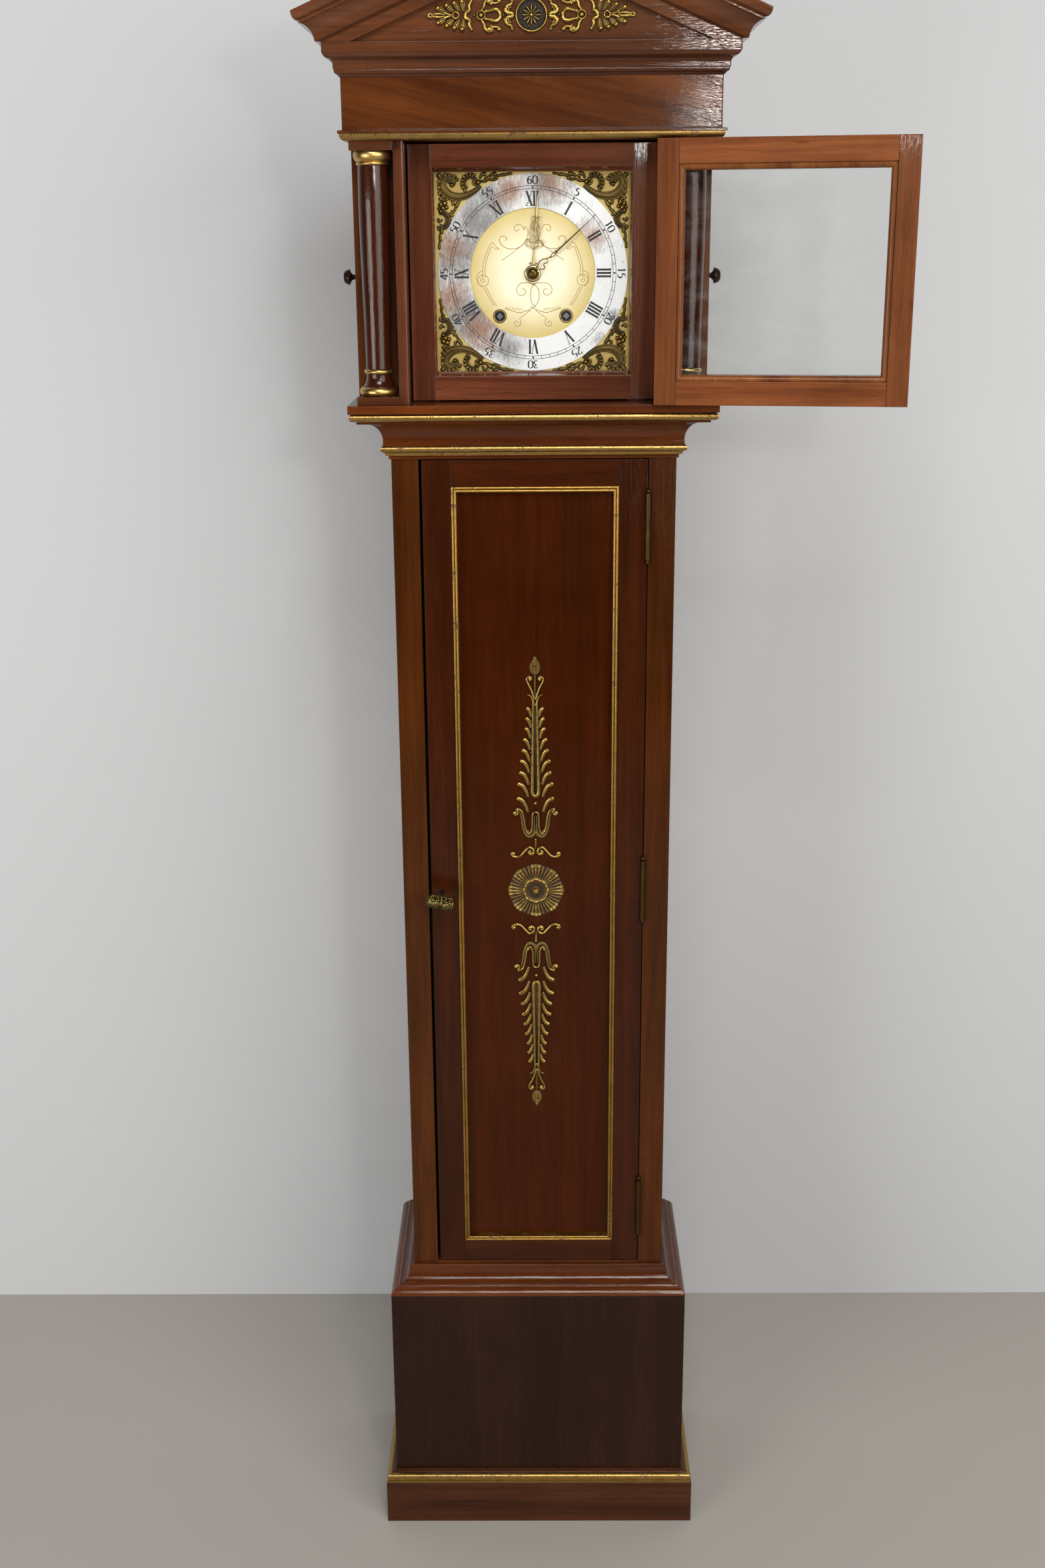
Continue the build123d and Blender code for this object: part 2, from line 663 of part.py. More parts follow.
def pediment():
    t = rake
    apex = cornice_top + (frieze_half + cornice_projection) * t
    wall = frieze_half + cornice_projection
    inner = wall - rake_band
    band = front_plate(Polygon((0, apex), (0, apex - rake_band * t), (inner, cornice_top), (wall, cornice_top),
                               align=None), band_front, band_thick)
    mitre = Plane(origin=(frieze_half, frieze_front, 0), z_dir=(1, 1, 0))
    band = split(band, bisect_by=mitre, keep=Keep.BOTTOM)
    ridge = cornice_top + frieze_half * t
    gable = Polygon((-frieze_half, cornice_top), (frieze_half, cornice_top), (0, ridge), align=None)
    tympanum = front_plate(gable, tympanum_front, tympanum_thick)
    rear = front_plate(gable, inner_back, back_thick)
    slope = Polygon((0, ridge), (frieze_half, cornice_top), (frieze_half, cornice_top + roof_board),
                    (0, ridge + roof_board), align=None)
    roof = front_plate(slope, tympanum_front, back - tympanum_front)
    save("pediment_boards", both(band), tympanum, rear, both(roof))

    side_plane = Plane(origin=(frieze_half, back, 0), x_dir=(1, 0, 0), z_dir=(0, -1, 0))
    side = extrude(side_plane * crown_section(0, 0, 0), amount=back - frieze_front + crown_projection + 10)
    side = split(side, bisect_by=mitre, keep=Keep.TOP)
    centre_plane = Plane(origin=(0, frieze_front, 0), x_dir=(0, -1, 0), z_dir=(-1, 0, 0))
    section = crown_section(cornice_projection - band_thick, t, frieze_half * t)
    length = (frieze_half + 2 * crown_projection) * math.hypot(1, t)
    raking = extrude(centre_plane * section, amount=length, dir=(-1, 0, -t))
    raking = split(raking, bisect_by=Plane(origin=(-frieze_half, frieze_front, 0), z_dir=(-1, 1, 0)),
                   keep=Keep.BOTTOM)
    save("raking_cornice", both(raking), both(side))

    boss = turned((0, 0), (boss_radius, 0), ((boss_radius * 0.8, boss_height * 0.7), (boss_radius * 0.4, boss_height)),
                  (0, boss_height))
    volute = extrude(Ellipse(volute_length / 2, fan_height / 2), amount=fan_thick)
    volute_x = boss_radius + boss_gap + volute_length / 2
    fan_x0 = volute_x + volute_length / 2 + boss_gap
    fan_x1 = inner - (boss_rise + fan_height / 4) / t - fan_margin
    fan_x = (fan_x0 + fan_x1) / 2
    fan = extrude(Ellipse((fan_x1 - fan_x0) / 2, fan_height / 2), amount=fan_thick)
    centre_z = cornice_top + boss_rise
    pieces = [facing(boss, 0, centre_z, tympanum_front)]
    pieces += both(facing(volute, volute_x, centre_z, tympanum_front))
    pieces += both(facing(fan, fan_x, centre_z, tympanum_front))
    save("pediment_ornament", pieces)


def mask():
    outer = jamb_half - mask_margin
    z0 = floor_z + mask_margin
    z1 = soffit_z - mask_margin
    half_x = outer - mask_stile
    opening_foot, opening_head = z0 + mask_foot_rail, z1 - mask_head_rail
    half_z = (opening_head - opening_foot) / 2
    middle = (opening_head + opening_foot) / 2
    front_plane = Plane(origin=(0, mask_front, middle), z_dir=(0, -1, 0))
    rear_plane = Plane(origin=(0, mask_front + mask_bevel_depth, middle), z_dir=(0, -1, 0))
    splay = loft([front_plane * Rectangle(2 * half_x, 2 * half_z),
                  rear_plane * Rectangle(2 * (half_x - mask_bevel), 2 * (half_z - mask_bevel))])
    window = box(mask_bevel - half_x, half_x - mask_bevel, mask_front, mask_back, middle - half_z + mask_bevel,
                 middle + half_z - mask_bevel)
    ring = box(-outer, outer, mask_front, mask_back, z0, z1) - splay - window
    members = joined_frame(ring, -half_x, half_x, middle - half_z, middle + half_z, mask_bevel)
    pad = box(outer - mask_pad, outer, mask_back - mask_thick / 2, mask_back, floor_z, z0)
    save("dial_mask_frame", members, both(pad))


# ---------------------------------------------------------------- hood door
def opened(shape):
    """Turn a piece of the hood door from its closed place to where it stands."""
    hinge = Axis((pivot_x, pivot_y, 0), (0, 0, 1))
    return shape.rotate(hinge, hood_door_open)


def hood_door():
    x0 = hood_lock_gap - jamb_half
    x1 = jamb_half - hood_door_gap
    z0 = floor_z + hood_door_gap
    z1 = soffit_z - hood_door_gap
    lip_x0, lip_x1 = x0 + hood_door_stile, x1 - hood_door_stile
    lip_z0, lip_z1 = z0 + hood_door_rail, z1 - hood_door_rail
    glass_front = door_front_y + lip_depth
    sight = box(lip_x0 + bead_width, lip_x1 - bead_width, door_front_y, door_back_y, lip_z0 + bead_width,
                lip_z1 - bead_width)
    rebate = box(lip_x0, lip_x1, glass_front, door_back_y, lip_z0, lip_z1)
    ring = box(x0, x1, door_front_y, door_back_y, z0, z1) - sight - rebate
    strap_x0 = pivot_x - strap_length
    strap_x1 = x1
    strap_back = door_front_y + 14
    for z in (z0, z1 - strap_thick):
        ring -= box(strap_x0, strap_x1 + 1, door_front_y - 1, strap_back, z, z + strap_thick)
    members = joined_frame(ring, lip_x0, lip_x1, lip_z0, lip_z1, bead_width)
    save("hood_door_frame", [opened(member) for member in members])

    pane = box(lip_x0 + seam, lip_x1 - seam, glass_front, glass_front + glass_thick, lip_z0 + seam, lip_z1 - seam)
    save("hood_door_glass", opened(pane))

    bead = outline((0, 0), (bead_width, 0), (bead_width, -bead_depth / 2),
                   ((bead_width / 2, -bead_depth), (0, -bead_depth)))
    beads = mitred_frame(bead, lip_x0, lip_x1, lip_z0, lip_z1, glass_front + glass_thick)
    save("hood_door_beads", [opened(bar) for bar in beads])

    fittings = []
    nose = pivot_pin_radius + 0.6
    for low, pin0, pin1 in ((z0, floor_z - 5, z0), (z1 - strap_thick, z1, soffit_z + 4)):
        tail = box(strap_x0, strap_x1, door_front_y, strap_back, low, low + strap_thick)
        neck = box(pivot_x - nose, strap_x1, pivot_y, door_front_y, low, low + strap_thick)
        eye = rod_z(pivot_x, pivot_y, low, low + strap_thick, nose)
        pin = rod_z(pivot_x, pivot_y, pin0, pin1, pivot_pin_radius)
        fittings.append(tail + neck + eye + pin)
    knob_x = x0 + hood_door_stile / 2 - 4
    profile = turned((0, 0), (3.2, 0), ((2.4, 3), (3, 5)), ((6.2, 8.5), (3, 12)), (0, 12))
    fittings.append(facing(profile, knob_x, floor_z + knob_height, door_front_y))
    save("hood_door_fittings", [opened(fitting) for fitting in fittings])


# ---------------------------------------------------------------- side doors and hinges
hinge_face = barrel_radius + barrel_clearance


def side_hinge(z):
    """Right-hand side door's hinge: door half and case half, at the rear edge."""
    upper, lower = barrel_hinge(side_barrel_length)
    place = Pos(hood_half + hinge_face, side_opening_end, z) * Rot(0, 0, 90)
    return place * upper, place * lower


def side_doors():
    outer = hood_half
    y0 = side_opening_y + side_door_gap
    y1 = side_opening_end - trunk_door_gap / 2
    z0 = side_opening_foot + trunk_door_gap
    z1 = side_opening_head - trunk_door_gap
    leaf = box(outer - side_door_thick, outer, y0, y1, z0, z1)
    hinge_levels = (side_opening_foot + side_barrel_inset, side_opening_head - side_barrel_inset)
    door_halves = [side_hinge(z)[0] for z in hinge_levels]
    knob_z = floor_z + knob_height
    knob_y = y0 + 12
    rim = knob_reach * 0.62
    knob = turned((0, 0), (knob_stem_radius, 0), (knob_stem_radius - 0.4, knob_neck),
                  ((knob_head_radius * 0.5, knob_neck + 2), (knob_head_radius, rim)),
                  ((knob_head_radius * 0.92, rim + 3.6), (knob_head_radius * 0.6, knob_reach)), (0, knob_reach))
    knob = Pos(outer, knob_y, knob_z) * Rot(0, 90, 0) * knob
    save("side_door_right", leaf, door_halves)
    save("side_door_left", mirrored(leaf), [mirrored(half) for half in door_halves])
    save("side_knob_right", knob)
    save("side_knob_left", mirrored(knob))
    return [side_hinge(z)[1] for z in hinge_levels]


# ---------------------------------------------------------------- trunk door
door_x0 = trunk_lock_gap - stile_inner
door_x1 = stile_inner - trunk_door_gap
trunk_pivot_x = stile_inner - trunk_door_gap / 2
trunk_pivot_y = trunk_front - hinge_face
keyhole_x = -door_x0 - keyhole_inset
keyhole_z = (door_foot + door_head) / 2 - lock_drop
lock_y = trunk_front + frame_thick - lock_thick
bolt_y = lock_y + lock_thick / 2


def trunk_door():
    z0 = door_foot + trunk_door_gap
    z1 = door_head - trunk_door_gap
    rear = trunk_front + frame_thick
    in_x0, in_x1 = door_x0 + door_stile, door_x1 - door_stile
    in_z0, in_z1 = z0 + door_rail, z1 - door_rail
    opening = box(in_x0, in_x1, trunk_front, rear, in_z0, in_z1)
    lock_z0 = keyhole_z - lock_height / 2 + 2
    pocket = box(door_x0 - 1, door_x0 + lock_width, lock_y, rear, lock_z0, lock_z0 + lock_height)
    keyhole = rod_y(-keyhole_x, keyhole_z, trunk_front - 1, lock_y + 1, key_radius + 0.5)
    ring = box(door_x0, door_x1, trunk_front, rear, z0, z1) - opening - pocket - keyhole
    save("trunk_door_frame", joined_frame(ring, in_x0, in_x1, in_z0, in_z1, 0))

    panel_y = trunk_front + panel_recess
    save("trunk_door_panel", box(in_x0, in_x1, panel_y, panel_y + panel_thick, in_z0, in_z1))

    depth = panel_recess + gilt_frame_proud
    flank = depth - gilt_frame_width / 2
    section = outline((0, 0), (gilt_frame_width, 0), (gilt_frame_width, flank * 0.6),
                      ((gilt_frame_width / 2, depth), (0, flank)))
    save("trunk_door_gilt_frame", mitred_frame(section, in_x0, in_x1, in_z0, in_z1, panel_y))

    ornaments(panel_y)
    trunk_lock(lock_z0)

    upper, lower = barrel_hinge(trunk_barrel_length)
    levels = (door_foot + trunk_barrel_foot, (door_foot + door_head) / 2, door_head - trunk_barrel_head)
    places = [Pos(trunk_pivot_x, trunk_pivot_y, z) for z in levels]
    save("trunk_door_hinge_halves", [place * upper for place in places])
    return [place * lower for place in places]


def ornaments(panel_y):
    """Cast appliqués as plain raised shapes: rosette, and above and below it scrolls, lyre, leaf, heart and cone."""
    r = rosette_radius
    rosette = turned((0, 0), (r, 0), ((r - 3, ornament_thick - 1), (r - 10, ornament_thick - 1)),
                     ((r / 2, ornament_thick + 0.5), (r / 4, ornament_thick + 3.5)), (0, ornament_thick + 3.5))
    pieces = [facing(rosette, 0, keyhole_z, panel_y)]
    half, rise = leaf_width / 2, leaf_height / 2
    waist = half * 0.6
    leaf = outline((0, -rise), ((half, -rise * 0.54), (waist, 0)), ((waist * 0.77, rise * 0.54), (0, rise)),
                   ((-waist * 0.77, rise * 0.54), (-waist, 0)), ((-half, -rise * 0.54), (0, -rise)))
    for way in (1, -1):
        stack = ((Ellipse(scroll_width / 2, scroll_height / 2), scroll_rise, ornament_thick - 1),
                 (Ellipse(lyre_width / 2, lyre_height / 2), lyre_rise, ornament_thick),
                 (leaf if way > 0 else Rot(0, 0, 180) * leaf, leaf_rise, ornament_thick),
                 (Ellipse(heart_width / 2, heart_height / 2), heart_rise, ornament_thick - 1),
                 (Ellipse(cone_width / 2, cone_height / 2), cone_rise, ornament_thick + 2))
        for face, height, thick in stack:
            pieces.append(facing(extrude(face, amount=thick), 0, keyhole_z + way * height, panel_y))
    save("trunk_door_ornaments", pieces)


def trunk_lock(lock_z0):
    """Cut-in lock, bolt and key. The bolt is drawn back."""
    rear = trunk_front + frame_thick
    bolt_z = keyhole_z + bolt_rise
    half_bolt = bolt_height / 2
    case = box(door_x0 + seam, door_x0 + lock_width, lock_y, rear, lock_z0, lock_z0 + lock_height)
    channel = box(door_x0, door_x0 + lock_width - 3, bolt_y - bolt_thick / 2 - seam, bolt_y + bolt_thick / 2 + seam,
                  bolt_z - half_bolt - seam, bolt_z + half_bolt + seam)
    bit_reach = bolt_rise - half_bolt - 3
    cavity = rod_y(-keyhole_x, keyhole_z, bolt_y - 2.5, bolt_y + 2.5, bit_reach + 0.5)
    inlet = rod_y(-keyhole_x, keyhole_z, lock_y - 1, bolt_y, key_radius + running)
    save("trunk_door_lock", case - channel - cavity - inlet)

    bolt = box(door_x0 + 0.5, door_x0 + lock_width - 3 - bolt_throw, bolt_y - bolt_thick / 2,
               bolt_y + bolt_thick / 2, bolt_z - half_bolt, bolt_z + half_bolt)
    save("trunk_lock_bolt", bolt)

    shank = rod_y(-keyhole_x, keyhole_z, trunk_front - key_reach, bolt_y + 2, key_radius)
    bit = box(-keyhole_x - 1, -keyhole_x + 1, bolt_y - 2, bolt_y + 2, keyhole_z, keyhole_z + bit_reach)
    bow_front = trunk_front - key_reach - key_bow_length
    bow = Pos(-keyhole_x, bow_front + key_bow_length / 2, keyhole_z) * extrude(
        Ellipse(key_bow_width / 2, key_bow_length / 2 + 1) - Ellipse(key_bow_width / 2 - 5, key_bow_length / 2 - 4),
        amount=2, both=True)
    save("trunk_door_key", shank + bit + bow)


# ---------------------------------------------------------------- dial and hands
def dial():
    half = jamb_half - dial_side_margin
    plate = box(-half, half, dial_front, dial_front + dial_thick, floor_z + dial_end_margin,
                soffit_z - dial_end_margin)
    plate -= rod_y(0, dial_z, dial_front - 1, dial_front + dial_thick + 1, hour_pipe_radius + 1)
    for x in (-barrel_x, barrel_x):
        plate -= rod_y(x, dial_z + barrel_z, dial_front - 1, dial_front + dial_thick + 1, winding_radius + 2.5)
    feet = []
    for x, z in foot_places:
        feet += both(rod_y(x, dial_z + z, dial_front + dial_thick, plate_front, dial_foot_radius))
    save("dial_plate", plate, feet)

    ring = extrude(Circle(ring_outer_radius) - Circle(ring_inner_radius), amount=ring_thick)
    save("chapter_ring", facing(ring, 0, dial_z, dial_front))

    corner = Rectangle(2 * spandrel_reach, 2 * spandrel_reach) - Circle(ring_outer_radius + spandrel_gap)
    corners = facing(extrude(corner, amount=spandrel_thick), 0, dial_z, dial_front)
    save("dial_spandrels", [corners])


hour_pipe_radius = 5.0
cannon_radius = 3.5
hour_hand_y = dial_front - 3.5
minute_hand_y = hour_hand_y - 3.4
cannon_front = minute_hand_y - hand_thick - 0.6
foot_places = ((46, 64), (52, -22))


def hand(length, hub_radius, bore, root_width, y, angle):
    """Flat hand: a hub and a tapering blade, turned clockwise from twelve."""
    blade = Polygon((-root_width / 2, 0), (root_width / 2, 0), (root_width / 2, length * 0.55), (0.5, length),
                    (-0.5, length), (-root_width / 2, length * 0.55), align=None)
    face = Circle(hub_radius) + blade - Circle(bore)
    return facing(Rot(0, 0, -angle) * extrude(face, amount=hand_thick), 0, dial_z, y)


def hands():
    minute_angle = minutes_past * 6
    save("hour_hand", hand(hour_hand_length, 7.5, hour_pipe_radius + running, 6, hour_hand_y, minute_angle / 12))
    save("minute_hand", hand(minute_hand_length, 5.5, cannon_radius + running, 3, minute_hand_y, minute_angle))


# ---------------------------------------------------------------- movement
def centre_distance(teeth, pinion, module):
    return module * (teeth + pinion) / 2


centre = (0.0, 0.0)
time_barrel_at = (barrel_x, barrel_z)
strike_barrel_at = (-barrel_x, barrel_z)
inter_at = third_point(centre, time_barrel_at, centre_distance(inter_teeth, inter_pinion_teeth, inter_module),
                       centre_distance(barrel_teeth, barrel_pinion_teeth, barrel_module), 1)
escape_at = (0.0, escape_rise)
third_at = third_point(centre, escape_at, centre_distance(centre_teeth, centre_pinion_teeth, centre_module),
                       centre_distance(third_teeth, third_pinion_teeth, third_module), -1)
pallet_at = (0.0, pallet_rise)
minute_at = (0.0, -motion_teeth * motion_module)
hour_module = 2 * motion_teeth * motion_module / (minute_pinion_teeth + hour_teeth)
pin_angle = math.radians(60.5)
pin_distance = centre_distance(barrel_teeth, barrel_pinion_teeth, barrel_module)
pin_at = (strike_barrel_at[0] + pin_distance * math.cos(pin_angle),
          strike_barrel_at[1] + pin_distance * math.sin(pin_angle))
fly_angle = math.radians(119.0)
fly_distance = centre_distance(pin_teeth, pin_pinion_teeth, pin_module)
fly_at = (pin_at[0] + fly_distance * math.cos(fly_angle), pin_at[1] + fly_distance * math.sin(fly_angle))
hammer_at = (-48.0, 36.0)
pillar_places = ((0, -72), (52, -6), (-54, -6), (50, 84), (-50, 84))

drum_front = plate_front + plate_thick + 21
drum_back = drum_front + barrel_drum_length
great_y = drum_front - 1.0
inter_y = plate_front + plate_thick + 10.5
centre_wheel_y = drum_front + 8.5
third_y = centre_wheel_y + 8
escape_y = third_y + 8
pin_y = drum_back + 4.5
motion_y = plate_front - 3.0
hour_y = motion_y - 5.0
rod_y_place = plate_back + pendulum_y
cock_front = rod_y_place - 8
cock_back = rod_y_place + 8


def at(place):
    """Dial coordinates to the clock's X and Z."""
    return place[0], dial_z + place[1]


def geared_arbor(place, radius, *gears):
    """Arbor fused with its wheels and pinions. A gear is teeth, module, front face, thickness and phase."""
    x, z = at(place)
    body = pivoted_arbor(x, z, radius)
    for teeth, module, front, thick, phase in gears:
        body += facing(wheel(teeth, module, thick, radius, phase), x, z, front + thick)
    return body


def movement_frame():
    top = dial_z + plate_above
    front = box(-plate_half_width, plate_half_width, plate_front, plate_front + plate_thick, seat_z, top)
    rear = box(-plate_half_width, plate_half_width, plate_back - plate_thick, plate_back, seat_z, top)
    for place in (inter_at, third_at, escape_at, pin_at, fly_at):
        x, z = at(place)
        front -= rod_y(x, z, plate_front - 1, plate_front + plate_thick + 1, pivot_radius + running)
        rear -= rod_y(x, z, plate_back - plate_thick - 1, plate_back + 1, pivot_radius + running)
    for place, radius in ((centre, centre_arbor_radius), (time_barrel_at, winding_radius),
                          (strike_barrel_at, winding_radius)):
        x, z = at(place)
        front -= rod_y(x, z, plate_front - 1, plate_front + plate_thick + 1, radius + running)
        rear -= rod_y(x, z, plate_back - plate_thick - 1, plate_back + 1, radius + running)
    for place, radius in ((pallet_at, arbor_radius), (hammer_at, arbor_radius)):
        x, z = at(place)
        front -= rod_y(x, z, plate_front - 1, plate_front + plate_thick + 1, pivot_radius + running)
        rear -= rod_y(x, z, plate_back - plate_thick - 1, plate_back + 1, radius + running)
    x, z = at(minute_at)
    stud = rod_y(x, z, hour_y - wheel_thick - 1, plate_front, arbor_radius)
    pillars = [rod_y(x, dial_z + z, plate_front + plate_thick, plate_back - plate_thick, pillar_radius)
               for x, z in pillar_places]
    pivot_z = dial_z + pallet_rise
    cheek = box(-6, 6, 0, 4, pivot_z - 6, pivot_z + 12)
    bore = rod_y(0, pivot_z, plate_back, cock_back + 1, barrel_pin_radius + running)
    cock = box(-6, 6, plate_back, cock_back, pivot_z + 8, pivot_z + 12)
    cock += Pos(0, cock_front, 0) * cheek + Pos(0, cock_back - 4, 0) * cheek
    save("movement_frame", front, rear, stud, pillars, cock - bore)


def barrels():
    phase = 0.0
    for name, place, side in (("time", time_barrel_at, 1), ("strike", strike_barrel_at, -1)):
        x, z = at(place)
        drum = rod_y(x, z, drum_front, drum_back, barrel_drum_radius)
        drum -= rod_y(x, z, drum_front + 2, drum_back - 2, barrel_drum_radius - barrel_wall)
        gear = facing(wheel(barrel_teeth, barrel_module, wheel_thick, barrel_drum_radius, phase, 0), x, z, drum_front)
        bore = rod_y(x, z, drum_front - 10, drum_back + 1, winding_radius + running)
        save(f"{name}_barrel", drum + gear - bore)
        front = dial_front - 1.5
        square_end = dial_front + dial_thick + 8
        arbor = rod_y(x, z, square_end, plate_back + 2, winding_radius)
        square = Pos(x, (front + square_end) / 2, z) * Rot(0, 45, 0) * Box(winding_square, square_end - front,
                                                                        winding_square)
        spring = rod_y(x, z, drum_front + 2.5, drum_back - 2.5, barrel_drum_radius - barrel_wall - 1.5)
        save(f"{name}_winding_arbor", arbor + square + spring)


def going_train():
    barrel_phase = 0.0
    line = angle_between(time_barrel_at, inter_at)
    inter_pinion_phase = meshed(barrel_phase, barrel_teeth, barrel_pinion_teeth, line)
    inter_phase = 0.0
    save("intermediate_wheel", geared_arbor(
        inter_at, arbor_radius,
        (barrel_pinion_teeth, barrel_module, great_y - 2.5, 4.5, inter_pinion_phase),
        (inter_teeth, inter_module, inter_y, wheel_thick, inter_phase)))

    centre_pinion_phase = meshed(inter_phase, inter_teeth, inter_pinion_teeth, angle_between(inter_at, centre))
    x, z = at(centre)
    shank = rod_y(x, z, cannon_front, plate_back, centre_arbor_radius)
    collar = rod_y(x, z, plate_front + plate_thick + seam, plate_back - plate_thick - seam, centre_arbor_radius + 1)
    pinion = facing(wheel(inter_pinion_teeth, inter_module, 5, 2, centre_pinion_phase), x, z, inter_y + 4)
    main = facing(wheel(centre_teeth, centre_module, wheel_thick, 2, 0.0), x, z, centre_wheel_y + wheel_thick)
    pipe = rod_y(x, z, cannon_front, motion_y + wheel_thick, cannon_radius)
    cannon = facing(wheel(motion_teeth, motion_module, wheel_thick, cannon_radius, 0.0), x, z, motion_y + wheel_thick)
    bore = rod_y(x, z, cannon_front - 1, plate_front, centre_arbor_radius + running)
    boss = facing(turned((0, 0), (6.3, 0), ((4.8, 3), (1, 4)), (0, 4)), x, z, cannon_front)
    save("centre_arbor", shank + collar + pinion + main, pipe + cannon - bore, boss)

    third_phase = meshed(0.0, centre_teeth, centre_pinion_teeth, angle_between(centre, third_at))
    save("third_wheel", geared_arbor(
        third_at, arbor_radius,
        (centre_pinion_teeth, centre_module, centre_wheel_y - 1, 4.5, third_phase),
        (third_teeth, third_module, third_y, wheel_thick, 0.0)))

    escape_phase = meshed(0.0, third_teeth, third_pinion_teeth, angle_between(third_at, escape_at))
    points = []
    for tooth in range(escape_teeth):
        for radius, share in ((escape_radius - 4, 0.1), (escape_radius, 0.42), (escape_radius, 0.5),
                              (escape_radius - 4, 0.75)):
            angle = 2 * math.pi * (tooth + share) / escape_teeth
            points.append((radius * math.cos(angle), radius * math.sin(angle)))
    x, z = at(escape_at)
    disc = facing(extrude(Polygon(*points, align=None), amount=2), x, z, escape_y + 2)
    arbor = geared_arbor(escape_at, arbor_radius, (third_pinion_teeth, third_module, third_y - 1, 4.5, escape_phase))
    save("escape_wheel", arbor + disc)


def escapement():
    x, z = at(pallet_at)
    front_shoulder = plate_front + plate_thick + seam
    crutch_y = plate_back + 4
    arbor = rod_y(x, z, front_shoulder, crutch_y + 3, arbor_radius)
    arbor += rod_y(x, z, plate_front, front_shoulder, pivot_radius)
    gap = pallet_rise - escape_rise - escape_radius
    arms = Polygon((-15, -gap - 1), (-13, -gap + 1.5), (-2, -1), (2, -1), (13, -gap + 1.5), (15, -gap - 1),
                   (15, -gap + 5), (3, 3.5), (-3, 3.5), (-15, -gap + 5), align=None)
    anchor = facing(extrude(arms, amount=2), x, z, escape_y + 2)
    fork_z = z - 46
    arm = box(-2, 2, crutch_y, crutch_y + 2, fork_z, z)
    prongs = box(-6, 6, crutch_y, rod_y_place + 4, fork_z, fork_z + 3)
    prongs -= box(-rod_radius - seam, rod_radius + seam, rod_y_place - rod_radius - 2, rod_y_place + 5, fork_z - 1,
                  fork_z + 4)
    save("pallets", arbor + anchor + arm + prongs)

    top = z
    bob_z = top - pendulum_length
    pin = rod_y(0, top, cock_front, cock_back, barrel_pin_radius)
    spring = box(-4, 4, rod_y_place - 0.4, rod_y_place + 0.4, top - 14, top)
    upper = rod_z(0, rod_y_place, bob_z + bob_radius - 12, top - 12, rod_radius)
    tail = rod_z(0, rod_y_place, bob_z - bob_radius - 30, bob_z - bob_radius + 12, rod_radius - 1)
    lens = outline((0, -bob_thick / 2), ((bob_radius * 0.62, -bob_thick * 0.34), (bob_radius, -1.5)),
                   (bob_radius, 1.5), ((bob_radius * 0.62, bob_thick * 0.34), (0, bob_thick / 2)))
    bob = Pos(0, rod_y_place, bob_z) * Rot(90, 0, 0) * revolve(Plane.XZ * lens, axis=Axis.Z)
    nut = rod_z(0, rod_y_place, bob_z - bob_radius - 8, bob_z - bob_radius - 1, 9)
    save("pendulum", pin + spring + upper + tail + bob + nut)


def motion_work():
    x, z = at(minute_at)
    cannon_line = angle_between(centre, minute_at)
    wheel_phase = meshed(0.0, motion_teeth, motion_teeth, cannon_line)
    body = facing(wheel(motion_teeth, motion_module, wheel_thick, arbor_radius + 1, wheel_phase), x, z,
                  motion_y + wheel_thick)
    body += facing(wheel(minute_pinion_teeth, hour_module, 7, 1, 0.0), x, z, motion_y + 1)
    body -= rod_y(x, z, hour_y - 10, plate_front, arbor_radius + running)
    save("minute_wheel", body)

    hour_phase = meshed(0.0, minute_pinion_teeth, hour_teeth, angle_between(minute_at, centre))
    x, z = at(centre)
    hour = facing(wheel(hour_teeth, hour_module, wheel_thick, hour_pipe_radius, hour_phase), x, z, hour_y + wheel_thick)
    hour += rod_y(x, z, hour_hand_y - hand_thick - 0.3, hour_y + wheel_thick, hour_pipe_radius)
    hour -= rod_y(x, z, hour_hand_y - 10, hour_y + 10, cannon_radius + running)
    save("hour_wheel", hour)


def striking_train():
    line = angle_between(strike_barrel_at, pin_at)
    pinion_phase = meshed(0.0, barrel_teeth, barrel_pinion_teeth, line)
    save("pin_wheel", geared_arbor(
        pin_at, arbor_radius,
        (barrel_pinion_teeth, barrel_module, great_y - 2.5, 4.5, pinion_phase),
        (pin_teeth, pin_module, pin_y, wheel_thick, 0.0)))

    fly_phase = meshed(0.0, pin_teeth, pin_pinion_teeth, angle_between(pin_at, fly_at))
    x, z = at(fly_at)
    vane = box(x - 12, x + 12, third_y - 4, third_y + 12, z - 0.6, z + 0.6)
    fly = geared_arbor(fly_at, arbor_radius, (pin_pinion_teeth, pin_module, pin_y - 1, 4.5, fly_phase))
    save("strike_fly", fly + vane)

    x, z = at(hammer_at)
    front_shoulder = plate_front + plate_thick + seam
    arm_y = plate_back + hammer_offset
    head_z = z + hammer_length
    half_arm = hammer_arm / 2
    hammer = rod_y(x, z, front_shoulder, arm_y + half_arm + 2, arbor_radius)
    hammer += rod_y(x, z, plate_front, front_shoulder, pivot_radius)
    hammer += box(x - half_arm, x + half_arm, arm_y - half_arm, arm_y + half_arm, z, head_z)
    hammer += Pos(x, arm_y, head_z) * Rot(0, 90, 0) * Cylinder(hammer_radius, hammer_head)
    save("hammer", hammer)

    rod_x = x + hammer_head / 2 + gong_gap + gong_rod_radius
    block_foot = dial_z + plate_above + gong_rise
    block = box(rod_x - gong_rod_space, rod_x + 2 * gong_rod_space, arm_y - gong_rod_space / 2, inner_back,
                block_foot, block_foot + gong_block)
    rods = [rod_z(rod_x, arm_y, block_foot - gong_length, block_foot, gong_rod_radius),
            rod_z(rod_x + gong_rod_space, arm_y, block_foot - gong_length * 0.86, block_foot, gong_rod_radius)]
    save("gong", block, rods)


